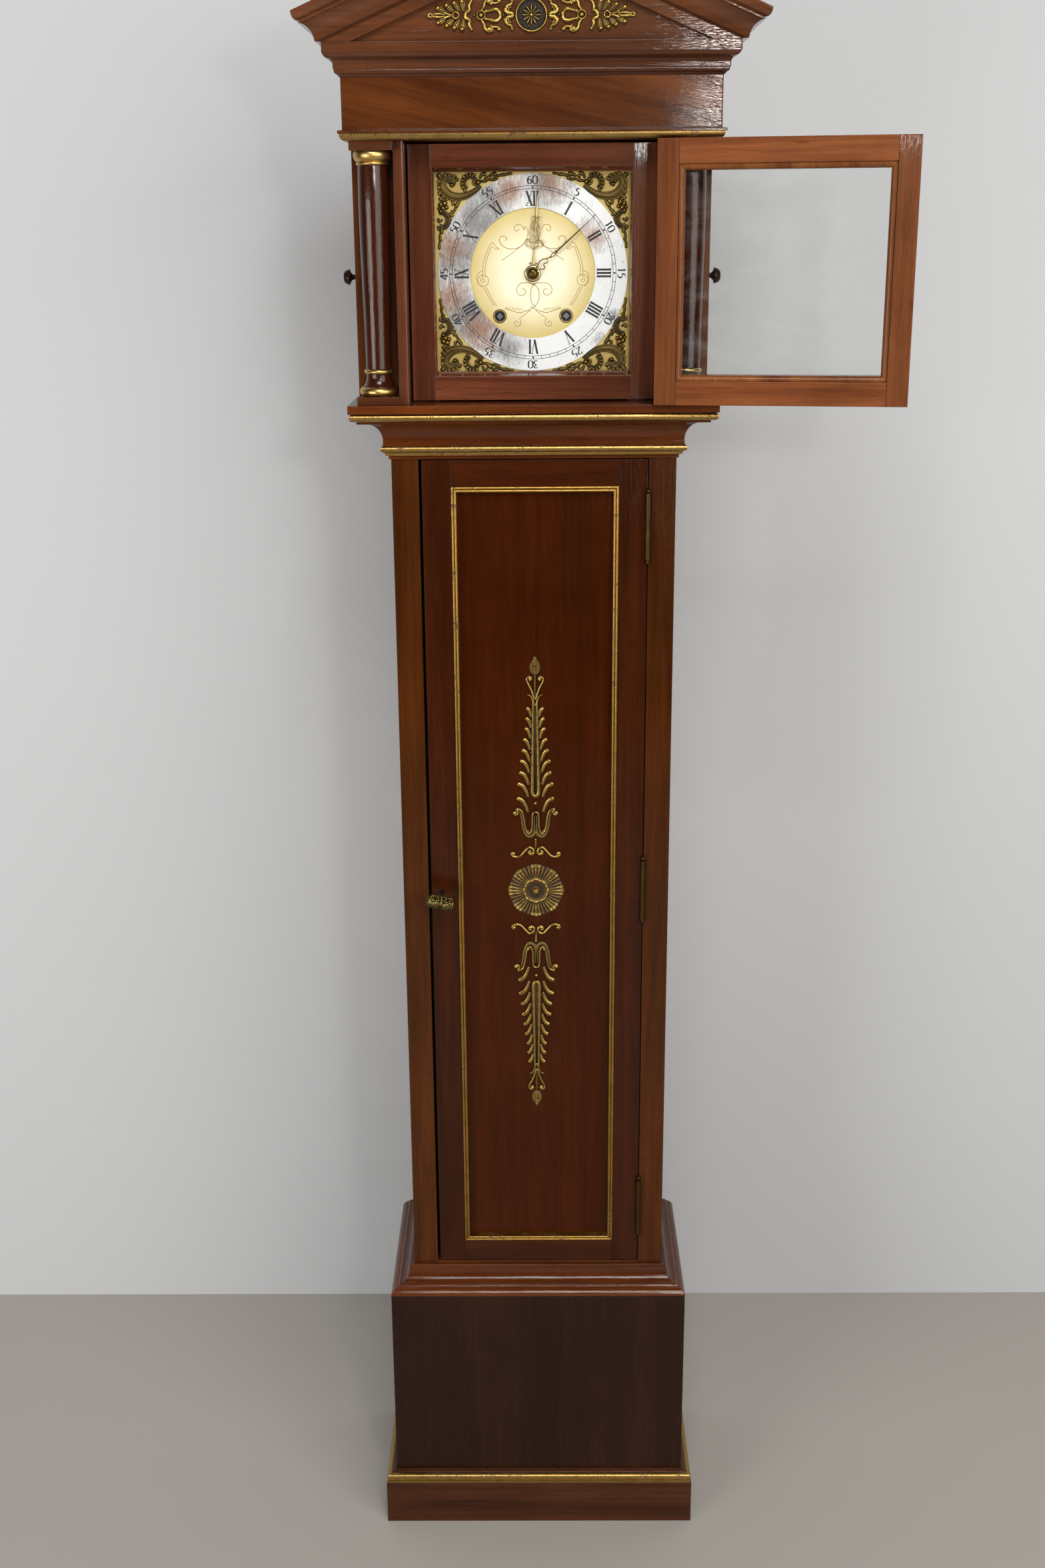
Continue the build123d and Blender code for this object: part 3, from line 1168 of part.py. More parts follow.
def seatboard():
    seat = box(-trunk_half, trunk_half, plate_front - 4, cock_back + 22, seat_z - seat_thick, seat_z)
    slot = box(-40, 40, rod_y_place - 8, rod_y_place + 8, seat_z - seat_thick - 1, seat_z + 1)
    save("seatboard", seat - slot)


plinth()
trunk()
throat()
hood_carcass()
columns()
entablature()
pediment()
mask()
hood_door()
case_halves = side_doors()
trunk_halves = trunk_door()
save("case_hinge_halves", trunk_halves, case_halves, [mirrored(half) for half in case_halves])
dial()
hands()
seatboard()
movement_frame()
barrels()
going_train()
escapement()
motion_work()
striking_train()
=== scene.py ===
# %% [markdown]
# # A columned longcase clock
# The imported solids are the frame: every board, moulding, wheel and hinge of the clock is there already, in
# metres, with X across the front, Y towards the wall and Z up. Here each of them gets the finish that a
# polisher, a gilder or a brass founder would give it, and the cast ornaments, the dial's engraving and the
# hands, which are plain shapes in the solids, are made in full.

import math

import bmesh
import bpy
import numpy as np
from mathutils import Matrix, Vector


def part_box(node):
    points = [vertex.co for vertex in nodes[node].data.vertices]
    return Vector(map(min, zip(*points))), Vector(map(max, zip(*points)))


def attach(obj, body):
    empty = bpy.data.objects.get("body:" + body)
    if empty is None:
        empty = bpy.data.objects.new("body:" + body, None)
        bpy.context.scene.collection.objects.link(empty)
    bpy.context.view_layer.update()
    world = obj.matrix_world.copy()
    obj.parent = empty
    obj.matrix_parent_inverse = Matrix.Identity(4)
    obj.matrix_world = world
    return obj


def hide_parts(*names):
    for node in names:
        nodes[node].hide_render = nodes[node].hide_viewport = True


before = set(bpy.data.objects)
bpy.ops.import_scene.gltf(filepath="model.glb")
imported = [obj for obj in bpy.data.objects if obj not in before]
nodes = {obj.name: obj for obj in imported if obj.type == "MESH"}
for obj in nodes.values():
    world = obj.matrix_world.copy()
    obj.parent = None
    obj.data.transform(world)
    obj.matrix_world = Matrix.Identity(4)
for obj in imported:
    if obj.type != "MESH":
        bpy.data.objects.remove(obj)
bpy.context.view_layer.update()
MM = 0.001


def node_box(name):
    """Lowest and highest corners of a node, in millimetres."""
    low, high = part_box(name)
    return np.array(low) / MM, np.array(high) / MM


# %% [markdown]
# ## Where the camera stands
# The clock is seen by someone standing about two metres away, whose eye is level with the dial and who
# looks down enough to take in the plinth. The lens is close to 40 mm on a 36 mm frame. The upright render's
# long side takes the full 36 mm, so no shift is needed.

# %% Camera
camera_data = bpy.data.cameras.new("viewer")
camera_data.lens = 39.95
camera_data.sensor_width = 36.0
camera = bpy.data.objects.new("viewer", camera_data)
camera.location = (0.0019, -2.1505, 1.7381)
camera.rotation_euler = [math.radians(a) for a in (72.356, 0.408, 0.368)]
bpy.context.collection.objects.link(camera)
bpy.context.scene.camera = camera
bpy.context.scene.view_settings.view_transform = "Standard"
print("camera at", tuple(round(v, 3) for v in camera.location))

# %% [markdown]
# ## Node helpers
# A material here is a small network. `wire` adds one node, and `plug` gives a node's inputs plain values or
# joins them to other nodes' outputs, so that a recipe reads from top to bottom as a finisher would apply
# it.


# %% Material helpers
def plug(tree, node, inputs):
    """Give each named input a number, a colour or another node's output."""
    for key, value in inputs.items():
        if isinstance(value, bpy.types.NodeSocket):
            tree.links.new(value, node.inputs[key])
        else:
            node.inputs[key].default_value = value


def wire(tree, kind, inputs=None, **settings):
    """Add a node, set its options and plug its inputs."""
    made = tree.nodes.new(kind)
    for key, value in settings.items():
        setattr(made, key, value)
    plug(tree, made, inputs or {})
    return made


def rgba(*levels):
    """Linear colour from the 0 to 255 levels seen on a screen."""
    channel = [level / 255 for level in levels]
    return [v / 12.92 if v <= 0.04045 else ((v + 0.055) / 1.055) ** 2.4 for v in channel] + [1.0]

def shaded(colour, share):
    """A colour made darker by a share below one, or lighter by one above it."""
    return [c * share for c in colour[:3]] + [1.0]


def new_material(name):
    """Empty principled material: returns it with its tree and shader."""
    made = bpy.data.materials.new(name)
    made.use_nodes = True
    return made, made.node_tree, made.node_tree.nodes["Principled BSDF"]


def here(tree):
    """Object coordinates, in metres."""
    return wire(tree, "ShaderNodeTexCoord").outputs["Object"]


def stretched(tree, scale=(1, 1, 1)):
    """Object coordinates times a scale for each axis: a small number draws the pattern out that way."""
    return wire(tree, "ShaderNodeMapping", {"Vector": here(tree), "Scale": scale}).outputs["Vector"]


def noise(tree, scale, detail=4.0, rough=0.55, distortion=0.0, vector=None):
    """Cloudy grey pattern between 0 and 1, on the plain object coordinates unless others are given."""
    vector = stretched(tree) if vector is None else vector
    return wire(tree, "ShaderNodeTexNoise", {
        "Vector": vector, "Scale": scale, "Detail": detail, "Roughness": rough,
        "Distortion": distortion}).outputs["Fac"]


def between(tree, value, low, high, to_low=0.0, to_high=1.0):
    """Map a value from one range to another, clamped."""
    mapped = wire(tree, "ShaderNodeMapRange", {"Value": value, "From Min": low, "From Max": high,
                                               "To Min": to_low, "To Max": to_high})
    return mapped.outputs["Result"]


def blend(tree, factor, first, second, mode="MIX"):
    """Mix two colours."""
    mixed = wire(tree, "ShaderNodeMix", {0: factor, 6: first, 7: second}, data_type="RGBA", blend_type=mode)
    return mixed.outputs[2]


def mix_shader(tree, share, first, second):
    """Two nodes' shaders mixed: 0 gives the first and 1 the second."""
    return wire(tree, "ShaderNodeMixShader", {0: share, 1: first.outputs[0], 2: second.outputs[0]})


def math_node(tree, operation, first, second=0.5):
    """One sum on two values."""
    return wire(tree, "ShaderNodeMath", {0: first, 1: second}, operation=operation).outputs[0]


def relief(tree, shader, height, strength, distance, edge=0.0):
    """Bump from a grey pattern, over arrises rounded by the edge radius in metres."""
    inputs = {"Height": height, "Strength": strength, "Distance": distance}
    if edge:
        inputs["Normal"] = wire(tree, "ShaderNodeBevel", {"Radius": edge}, samples=4).outputs["Normal"]
    bumped = wire(tree, "ShaderNodeBump", inputs).outputs["Normal"]
    plug(tree, shader, {"Normal": bumped})
    return bumped


# %% [markdown]
# ## Mahogany
# The case is mahogany: broad, soft bands of darker and lighter wood that run with the board, short dark
# pores, a slow change of tone, and a French polish that has sunk a little into the grain. A noise pattern
# squeezed across the board and drawn out along it gives the bands; a much finer one gives the pores. Doors
# and frames are joined from upright stiles and level rails, so their grain turns at each shoulder and a
# hairline shows in the joint.


# %% Mahogany recipe
GRAIN = 0.045           # how strongly the pattern is drawn out along the board
HAIRLINE = 0.00035      # half the width of a joint's dark line, in metres


def grain_vector(tree, upright, lean, shift):
    """Coordinates drawn out along the grain. `lean` tips level grain by degrees; `shift` picks a board."""
    tipped = wire(tree, "ShaderNodeMapping", {"Vector": here(tree), "Location": (shift, shift, shift),
                                              "Rotation": (0.0, math.radians(lean), 0.0)}).outputs["Vector"]
    along = (1.0, 1.0, GRAIN) if upright else (GRAIN, GRAIN, 1.0)
    return wire(tree, "ShaderNodeMapping", {"Vector": tipped, "Scale": along}).outputs["Vector"]


def rail_mask(tree, axis, low, high):
    """1 where the rails are, between two places along an axis, and a second mask for the hairline joints."""
    along = wire(tree, "ShaderNodeSeparateXYZ", {0: here(tree)}).outputs[axis]
    middle, half = (low + high) / 2 * MM, (high - low) / 2 * MM
    reach = math_node(tree, "ABSOLUTE", math_node(tree, "SUBTRACT", along, middle))
    from_joint = math_node(tree, "ABSOLUTE", math_node(tree, "SUBTRACT", reach, half))
    return math_node(tree, "LESS_THAN", reach, half), math_node(tree, "LESS_THAN", from_joint, HAIRLINE)


def mahogany(name, upright, dark, light, figure=1.0, polish=0.25, shift=0.0, lean=0.0, rails=None):
    """French-polished mahogany, from the dark and light levels of its bands.

    `figure` is how strong the bands are, `polish` how deep the coat is, and `rails` the axis and the two
    places between which the grain turns from upright to level.
    """
    made, tree, shader = new_material(name)
    dark, light = rgba(*dark), rgba(*light)
    board = grain_vector(tree, upright, lean, shift)
    if rails:
        inside, joint = rail_mask(tree, *rails)
        board = blend(tree, inside, board, grain_vector(tree, False, lean, shift + 2.0))
    bands = noise(tree, 30.0, 5.0, 0.6, 0.4, board)
    fine = noise(tree, 230.0, 3.0, 0.6, vector=board)
    pores = noise(tree, 800.0, 2.0, 0.7, vector=board)
    ground = blend(tree, between(tree, bands, 0.5 - 0.2 / figure, 0.5 + 0.2 / figure), dark, light)
    tone = between(tree, noise(tree, 5.0, 3.0, 0.5), 0.3, 0.7, 0.82, 1.18)
    if rails:
        tone = math_node(tree, "MULTIPLY", tone, between(tree, inside, 0.0, 1.0, 1.0, 1.35))
    grey = wire(tree, "ShaderNodeCombineColor", dict.fromkeys(("Red", "Green", "Blue"), tone)).outputs[0]
    lively = blend(tree, 1.0, ground, grey, "MULTIPLY")
    lined = blend(tree, between(tree, fine, 0.45, 0.75, 0.0, 0.4), lively, shaded(dark, 0.5))
    pored = blend(tree, between(tree, pores, 0.6, 0.74, 0.0, 0.5), lined, rgba(16, 6, 3))
    if rails:
        pored = blend(tree, math_node(tree, "MULTIPLY", joint, 0.8), pored, rgba(12, 5, 3))
    grain_relief = relief(tree, shader, math_node(tree, "ADD", fine, pores), 0.35, 0.0004, edge=0.0015)
    plug(tree, shader, {
        "Base Color": pored, "Roughness": between(tree, noise(tree, 20.0, 4.0, 0.6), 0.3, 0.75, 0.2, 0.32),
        "Specular IOR Level": 0.1, "Specular Tint": (1.0, 0.74, 0.5, 1.0), "Coat Weight": polish,
        "Coat Roughness": 0.055, "Coat Normal": grain_relief})
    return made


TRUNK_RAILS, TRUNK_DOOR_RAILS = ("X", -136.5, 136.5), ("X", -99.0, 101.0)
MASK_RAILS, OPEN_DOOR_RAILS, SIDE_RAILS = ("X", -114.75, 114.75), ("X", 160.3, 391.7), ("Y", -20.0, 90.0)
BOARDS = {
    "trunk_stiles": (True, (50, 21, 4), (84, 42, 11), 1.0, 0.25, 0.0, 0.0, TRUNK_RAILS),
    "trunk_sides": (True, (50, 22, 6), (82, 40, 13), 1.0, 0.25, 1.2),
    "level": (False, (62, 25, 7), (102, 50, 17), 1.1, 0.5, 3.1),
    "skirt": (False, (52, 25, 13), (84, 46, 26), 1.0, 0.25, 4.4),
    "plinth": (True, (30, 13, 7), (49, 25, 16), 0.7, 0.3, 17.0),
    "hood_uprights": (True, (66, 32, 18), (108, 62, 38), 1.0, 0.5, 5.3),
    "frieze": (False, (60, 26, 9), (98, 51, 20), 1.3, 0.5, 7.7, -14.0),
    "cornice": (False, (66, 33, 17), (112, 67, 40), 1.1, 0.7, 9.1),
    "mask": (True, (66, 30, 17), (106, 58, 36), 1.0, 0.6, 10.2, 0.0, MASK_RAILS),
    "trunk_door_frame": (True, (38, 13, 4), (66, 27, 6), 0.9, 0.25, 11.0, 0.0, TRUNK_DOOR_RAILS),
    "trunk_panel": (True, (42, 14, 1), (68, 25, 3), 0.7, 0.15, 13.0),
    "hood_door_frame": (True, (80, 40, 21), (128, 75, 43), 1.0, 0.25, 15.0, 0.0, OPEN_DOOR_RAILS),
    "hood_door_bead": (True, (92, 46, 18), (140, 84, 44), 0.9, 0.25, 16.0),
    "side_doors": (True, (62, 30, 14), (104, 58, 30), 1.0, 0.25, 18.0, 0.0, SIDE_RAILS),
    "column": (True, (36, 12, 4), (64, 25, 8), 0.9, 0.7, 19.0),
    "knob": (True, (30, 18, 10), (50, 32, 20), 0.8, 0.2, 21.0),
}
WOODS = {wood: mahogany("mahogany_" + wood, *recipe) for wood, recipe in BOARDS.items()}
print("woods:", list(WOODS))


# %% [markdown]
# ## Softwood
# The backboards and the seatboard are plain deal, never meant to be seen: pale brown, dull, with wide soft
# grain.

# %% Softwood recipe
def deal(name):
    """Unpolished softwood with its grain up the board."""
    made, tree, shader = new_material(name)
    rings = noise(tree, 60.0, 4.0, 0.5, 0.6, stretched(tree, (1.0, 1.0, 0.05)))
    colour = blend(tree, between(tree, rings, 0.35, 0.7), rgba(132, 98, 60), rgba(168, 132, 88))
    stain = between(tree, noise(tree, 6.0), 0.45, 0.75, 0.0, 0.5)
    plug(tree, shader, {"Base Color": blend(tree, stain, colour, rgba(92, 66, 42)), "Roughness": 0.82})
    relief(tree, shader, rings, 0.25, 0.0006, edge=0.0008)
    return made


SOFTWOOD = deal("deal_boards")

# %% [markdown]
# ## Gilding
# The half-rounds between the boards are water-gilt: thin gold leaf over red clay. A century of dusting has
# rubbed the leaf, so the clay and brown wax show in flecks. The gold is a metal and the clay is not, so the
# wear mask drives the metallic value as well as the colour.


# %% Gilding recipe
def gilding(name, dull, bright, wear):
    """Rubbed gold leaf: metal where the leaf is whole, brown-red clay where it has gone.

    A higher `wear` shows more clay.
    """
    made, tree, shader = new_material(name)
    flecks = noise(tree, 520.0, 6.0, 0.7)
    patches = noise(tree, 70.0, 3.0, 0.5)
    worn = between(tree, math_node(tree, "MULTIPLY", flecks, patches), 0.35 - wear, 0.44 - wear)
    gold = blend(tree, patches, rgba(*dull), rgba(*bright))
    plug(tree, shader, {"Base Color": blend(tree, worn, gold, rgba(88, 48, 22)),
                        "Metallic": between(tree, worn, 0.0, 1.0, 1.0, 0.1),
                        "Roughness": between(tree, flecks, 0.3, 0.7, 0.22, 0.42)})
    relief(tree, shader, flecks, 0.3, 0.0005)
    return made


GILT = gilding("rubbed_gold_leaf", (172, 134, 68), (214, 184, 118), 0.02)
CASE_GILT = gilding("dusty_gold_leaf", (140, 108, 52), (186, 154, 92), 0.05)
PANEL_GILT = gilding("waxed_gold_leaf", (138, 102, 44), (188, 150, 78), 0.06)


# %% [markdown]
# ## Cast brass with old lacquer
# The appliqués and spandrels are cast brass whose hollows have gone nearly black with patina while the high
# places stay bright, and their crevices are darkened further with painted shade. Two things tell them apart:
# the height above the ground that they lie on, which object coordinates give because Y runs from the ground
# towards the viewer, and how much of the sky a point sees, an ambient occlusion that paints shade into
# crevices.


# %% Cast brass recipe
def cast_brass(name, ground, reach, low, high, rough):
    """Brass that darkens towards the ground, with painted shade in its crevices. `ground` is the Y it lies on,
    and
    `reach` says how far in front of it the metal is darkest and brightest, all in millimetres."""
    made, tree, shader = new_material(name)
    height = wire(tree, "ShaderNodeSeparateXYZ", {0: here(tree)}).outputs["Y"]
    rise = between(tree, height, (ground - reach[0]) * MM, (ground - reach[1]) * MM)
    dirt = noise(tree, 420.0, 5.0, 0.6)
    # Ambient occlusion: painted shade, darker where a point sees less of the sky.
    painted_shade_occlusion = wire(tree, "ShaderNodeAmbientOcclusion", {"Distance": 0.004}, samples=6).outputs["AO"]
    raised = math_node(tree, "ADD", rise, math_node(tree, "MULTIPLY", dirt, 0.4))
    height_dirt_and_painted_shade = math_node(tree, "ADD", raised, math_node(tree, "MULTIPLY", painted_shade_occlusion, 0.5))
    # rubbed mixes real wear and patina with the painted shade in the crevices.
    rubbed = between(tree, height_dirt_and_painted_shade, 0.85, 1.55)
    plug(tree, shader, {"Base Color": blend(tree, rubbed, rgba(*low), rgba(*high)),
                        "Metallic": between(tree, rubbed, 0.0, 1.0, 0.4, 1.0),
                        "Roughness": between(tree, rubbed, 0.0, 1.0, 0.62, rough)})
    relief(tree, shader, dirt, 0.35, 0.0003)
    return made


def plain_brass(name, low, high, rough, scale=60.0):
    """Worked brass or steel with handling marks."""
    made, tree, shader = new_material(name)
    marks = noise(tree, scale * 6, 4.0, 0.65)
    cloud = noise(tree, scale, 3.0, 0.5)
    plug(tree, shader, {"Base Color": blend(tree, cloud, rgba(*low), rgba(*high)), "Metallic": 1.0,
                        "Roughness": between(tree, marks, 0.3, 0.7, rough - 0.07, rough + 0.12)})
    relief(tree, shader, marks, 0.12, 0.0002, edge=0.0003)
    return made


METALS = {
    "hinge": plain_brass("old_hinge_brass", (52, 38, 20), (92, 70, 38), 0.42),
    "movement": plain_brass("movement_brass", (186, 146, 78), (214, 176, 104), 0.28),
    "steel": plain_brass("polished_steel", (92, 92, 94), (134, 134, 136), 0.34),
    "old_key": plain_brass("old_key_brass", (74, 64, 36), (140, 122, 72), 0.36, 200.0),
    "iron": plain_brass("black_iron", (40, 38, 36), (62, 60, 58), 0.55),
    "hand": plain_brass("dark_hand_brass", (92, 76, 34), (134, 112, 56), 0.34),
    "boss": plain_brass("dark_boss_brass", (70, 58, 26), (108, 90, 42), 0.3),
}
print("metals:", list(METALS))


# %% [markdown]
# ## Dial plate
# The plate was brushed and lacquered. Its middle is painted pale and bright, a painted highlight of a lamp's
# glare on the brass; towards the corners the lacquer has gone brown round the castings, where no cloth
# reaches.


# %% Dial plate recipe
def vector_node(tree, operation, first, second, output="Vector"):
    """One sum on two vectors."""
    return wire(tree, "ShaderNodeVectorMath", {0: first, 1: second}, operation=operation).outputs[output]


def about(tree, centre):
    """Object coordinates counted from a centre: all three, and then with the depth left out."""
    centred = vector_node(tree, "SUBTRACT", here(tree), centre)
    return centred, vector_node(tree, "MULTIPLY", centred, (1.0, 0.0, 1.0))


def dial_brass(name, centre, reach):
    """Brushed brass with a painted glare highlight in the middle, that darkens outside a given distance from
    the dial's centre, both in metres.
    """
    made, tree, shader = new_material(name)
    centred, flat = about(tree, centre)
    away = wire(tree, "ShaderNodeVectorMath", {0: flat}, operation="LENGTH").outputs["Value"]
    brushed = noise(tree, 420.0, 4.0, 0.65, vector=stretched(tree, (0.2, 1.0, 1.0)))
    cloud = noise(tree, 40.0, 3.0, 0.5, vector=centred)
    # Painted highlight: the middle is painted pale and nearly white for a lamp's glare, fading to gold further
    # out.
    painted_glare = blend(tree, cloud, rgba(228, 220, 184), rgba(240, 234, 208))
    golden = blend(tree, cloud, rgba(188, 168, 102), rgba(206, 186, 120))
    browned = blend(tree, cloud, rgba(152, 128, 66), rgba(182, 156, 90))
    glare_to_gold = blend(tree, between(tree, away, reach * 0.3, reach * 0.66), painted_glare, golden)
    plug(tree, shader, {
        "Base Color": blend(tree, between(tree, away, reach * 0.95, reach * 1.12), glare_to_gold, browned),
        "Metallic": 0.5, "Roughness": between(tree, brushed, 0.3, 0.7, 0.5, 0.58)})
    relief(tree, shader, brushed, 0.12, 0.0002)
    return made


# %% [markdown]
# ## Silvered ring
# The chapter ring was silvered, then polished too often: the silver is streaked, reddish copper shows
# through it in patches, grey tarnish clouds the left side and a few places on the rim have gone black. Each
# patch is a soft round spot with a ragged noise edge, so the places are chosen and the outlines are not.


# %% Silvered ring recipe
GREY_SPOTS = [(-64, 66, 70), (-86, 22, 60), (-74, -48, 60), (-30, -84, 30), (14, 98, 44)]
COPPER_SPOTS = [(24, 100, 36), (68, 42, 26), (-96, 30, 34), (-96, -22, 34), (-58, -64, 36), (-24, 92, 34)]
SOOT_SPOTS = [(-50, 94, 26), (46, 98, 18), (94, -50, 26), (78, -74, 22), (-100, 50, 20), (-70, -36, 20)]


def silvering(name, centre):
    """Worn silver: clouded at the upper left, and rubbed through to copper in a few named places."""
    made, tree, shader = new_material(name)
    centred, flat = about(tree, centre)
    cloud = noise(tree, 30.0, 5.0, 0.65, 1.0, centred)
    streak = noise(tree, 160.0, 4.0, 0.7, 1.5, stretched(tree, (3.0, 1.0, 0.6)))

    def worn_at(spots, edge):
        """Ragged patches: each spot gives its X, Z and reach in millimetres from the centre of the ring."""
        total = None
        for x, z, reach in spots:
            away = vector_node(tree, "DISTANCE", flat, (x * MM, 0.0, z * MM), "Value")
            near = between(tree, away, 0.0, reach * MM, 1.0, 0.0)
            total = near if total is None else math_node(tree, "MAXIMUM", total, near)
        broken = math_node(tree, "ADD", math_node(tree, "MULTIPLY", cloud, 1.1),
                           math_node(tree, "MULTIPLY", streak, 1.5))
        return between(tree, math_node(tree, "ADD", total, broken), edge, edge + 0.8)

    silver = blend(tree, streak, rgba(198, 200, 200), rgba(236, 236, 233))
    grey = math_node(tree, "MULTIPLY", worn_at(GREY_SPOTS, 1.36), 0.85)
    clouded = blend(tree, grey, silver, rgba(100, 97, 94))
    copper = math_node(tree, "MULTIPLY", worn_at(COPPER_SPOTS, 1.5), 0.8)
    warm = blend(tree, copper, clouded, rgba(140, 92, 58))
    plug(tree, shader, {"Base Color": blend(tree, worn_at(SOOT_SPOTS, 1.88), warm, rgba(44, 44, 48)),
                        "Metallic": 0.5, "Roughness": between(tree, streak, 0.3, 0.7, 0.48, 0.58)})
    relief(tree, shader, streak, 0.12, 0.0002)
    return made


def ink(name, levels, rough=0.5):
    """Black wax or brown lacquer rubbed into engraved lines, a little patchy."""
    made, tree, shader = new_material(name)
    colour = rgba(*levels)
    patchy = blend(tree, noise(tree, 300.0), colour, shaded(colour, 1.7))
    plug(tree, shader, {"Base Color": patchy, "Roughness": rough})
    return made


# %% [markdown]
# ## Old window glass
# The hood door's pane is clear, with a film of dust and wiped smears that shows as a faint milky veil.
# Light has to reach the dial through it, so shadow rays pass straight on. Rays that the dial sends back
# pass straight on too, because bent ones would bring the lamps' light to the dial a second time.


# %% Glass recipe
def pane_glass(name):
    """Clear glass with a patchy dust film."""
    made, tree, shader = new_material(name)
    plug(tree, shader, {"Base Color": rgba(246, 250, 248), "Transmission Weight": 1.0, "Roughness": 0.02,
                        "IOR": 1.47})
    clear = wire(tree, "ShaderNodeBsdfTransparent")
    dust = wire(tree, "ShaderNodeBsdfDiffuse", {"Color": rgba(225, 228, 230)})
    smear = noise(tree, 14.0, 5.0, 0.65, 1.2, stretched(tree, (1.0, 1.0, 2.2)))
    film = mix_shader(tree, between(tree, smear, 0.45, 0.8, 0.0, 0.07), shader, dust)
    path = wire(tree, "ShaderNodeLightPath")
    indirect = math_node(tree, "MAXIMUM", path.outputs["Is Diffuse Ray"], path.outputs["Is Glossy Ray"])
    through = math_node(tree, "MAXIMUM", path.outputs["Is Shadow Ray"], indirect)
    passed = mix_shader(tree, through, film, clear)
    plug(tree, tree.nodes["Material Output"], {"Surface": passed.outputs[0]})
    return made


GLASS = pane_glass("old_window_glass")

# %% [markdown]
# ## Who wears what
# Each solid keeps its shape and takes the finish of the real piece. Upright pieces get upright grain, and
# rails, mouldings and cornices get grain that runs round the case.

# %% Dress the solids
ring_centre = np.mean(node_box("chapter_ring"), axis=0)
DIAL_X, DIAL_Z = float(ring_centre[0]), float(ring_centre[2])
SILVER = silvering("worn_silvering", (DIAL_X * MM, 0.0, DIAL_Z * MM))
RING_REACH = float(node_box("chapter_ring")[1][0]) - DIAL_X
PLATE_BRASS = dial_brass("dial_plate_brass", (DIAL_X * MM, 0.0, DIAL_Z * MM), RING_REACH * MM)
WEARERS = [
    (WOODS["skirt"], ["plinth_base_mouldings"]),
    (WOODS["plinth"], ["plinth_box"]),
    (WOODS["level"], ["plinth_cap_moulding", "throat_moulding", "hood_base_boards"]),
    (WOODS["trunk_sides"], ["trunk_sides"]),
    (WOODS["trunk_stiles"], ["trunk_front_frame"]),
    (WOODS["trunk_door_frame"], ["trunk_door_frame"]),
    (WOODS["trunk_panel"], ["trunk_door_panel"]),
    (WOODS["hood_uprights"], ["hood_front_stiles"]),
    (WOODS["hood_door_frame"], ["hood_door_frame"]),
    (WOODS["hood_door_bead"], ["hood_door_beads"]),
    (WOODS["side_doors"], ["hood_side_frames", "side_door_left", "side_door_right"]),
    (WOODS["knob"], ["side_knob_left", "side_knob_right"]),
    (WOODS["column"], ["column_shafts"]),
    (WOODS["mask"], ["dial_mask_frame"]),
    (WOODS["frieze"], ["entablature_boards"]),
    (WOODS["cornice"], ["column_blocks", "bed_cornice", "pediment_boards", "raking_cornice"]),
    (SOFTWOOD, ["back_boards", "seatboard"]),
    (CASE_GILT, ["gilt_case_mouldings"]),
    (GILT, ["column_gilt_rings", "trunk_door_gilt_frame"]),
    (METALS["hinge"], ["case_hinge_halves", "trunk_door_hinge_halves", "trunk_door_lock", "trunk_door_key",
                       "hood_door_fittings"]),
    (METALS["steel"], ["time_winding_arbor", "strike_winding_arbor", "pallets", "hammer"]),
    (METALS["iron"], ["gong"]),
    (METALS["boss"], ["centre_arbor"]),
    (GLASS, ["hood_door_glass"]),
    (PLATE_BRASS, ["dial_plate"]),
    (SILVER, ["chapter_ring"]),
]
FINISH = {node: finish for finish, wearers in WEARERS for node in wearers}
for name, thing in nodes.items():
    finish = FINISH.get(name, METALS["movement"])
    thing.data.materials.clear()
    thing.data.materials.append(finish)
print("dressed", len(nodes), "solids")

# %% [markdown]
# ## Building with arrays
# Every ornament below is a sheet of points worked out at once: rows follow a path, columns go round a
# section. `carried` sweeps a raised section along a path drawn on the ground, which makes scrolls, stems,
# lobes and pen strokes. `dished` lays a relief over a round or oval outline, which makes rosettes, cones
# and beads, and `turned` is lathe work. All give closed shells, and `cast` joins many shells in one piece.


# %% Geometry helpers
def smooth_path(points, count=40):
    """Curve through the given points, evenly stepped: a Catmull-Rom spline on each span."""
    p = np.asarray(points, float)
    padded = np.vstack([2 * p[0] - p[1], p, 2 * p[-1] - p[-2]])
    spans = len(p) - 1
    t = np.linspace(0, spans, count)
    i = np.minimum(t.astype(int), spans - 1)
    f = (t - i)[:, None]
    a, b, c, d = padded[i], padded[i + 1], padded[i + 2], padded[i + 3]
    return 0.5 * (2 * b + (c - a) * f + (2 * a - 5 * b + 4 * c - d) * f ** 2
                  + (3 * b - a - 3 * c + d) * f ** 3)


def volute(centre, start_radius, end_radius, start_deg, end_deg, count=36):
    """Spiral about a centre: the radius falls evenly in proportion as the angle runs."""
    share = np.linspace(0, 1, count)
    angle = np.radians(start_deg + (end_deg - start_deg) * share)
    radius = start_radius * (end_radius / start_radius) ** share
    return np.stack([centre[0] + radius * np.cos(angle), centre[1] + radius * np.sin(angle)], axis=1)


def grid_faces(rows, columns, ring=True):
    """Quads over a grid of points. A ring joins its last column to its first."""
    r = np.arange(rows - 1)[:, None] * columns
    c = np.arange(columns if ring else columns - 1)[None, :]
    following = (c + 1) % columns
    return np.stack([r + c, r + following, r + columns + following, r + columns + c], axis=-1).reshape(-1, 4)

def tube_faces(rows, columns):
    """Quads round a tube, and one face over each end."""
    return grid_faces(rows, columns).tolist() + [list(range(columns))[::-1],
                                                 list(range((rows - 1) * columns, rows * columns))]


def sheet(x, y, z):
    """List of points from three arrays that fit one grid."""
    return np.stack(np.broadcast_arrays(x, y, z), axis=-1).reshape(-1, 3)


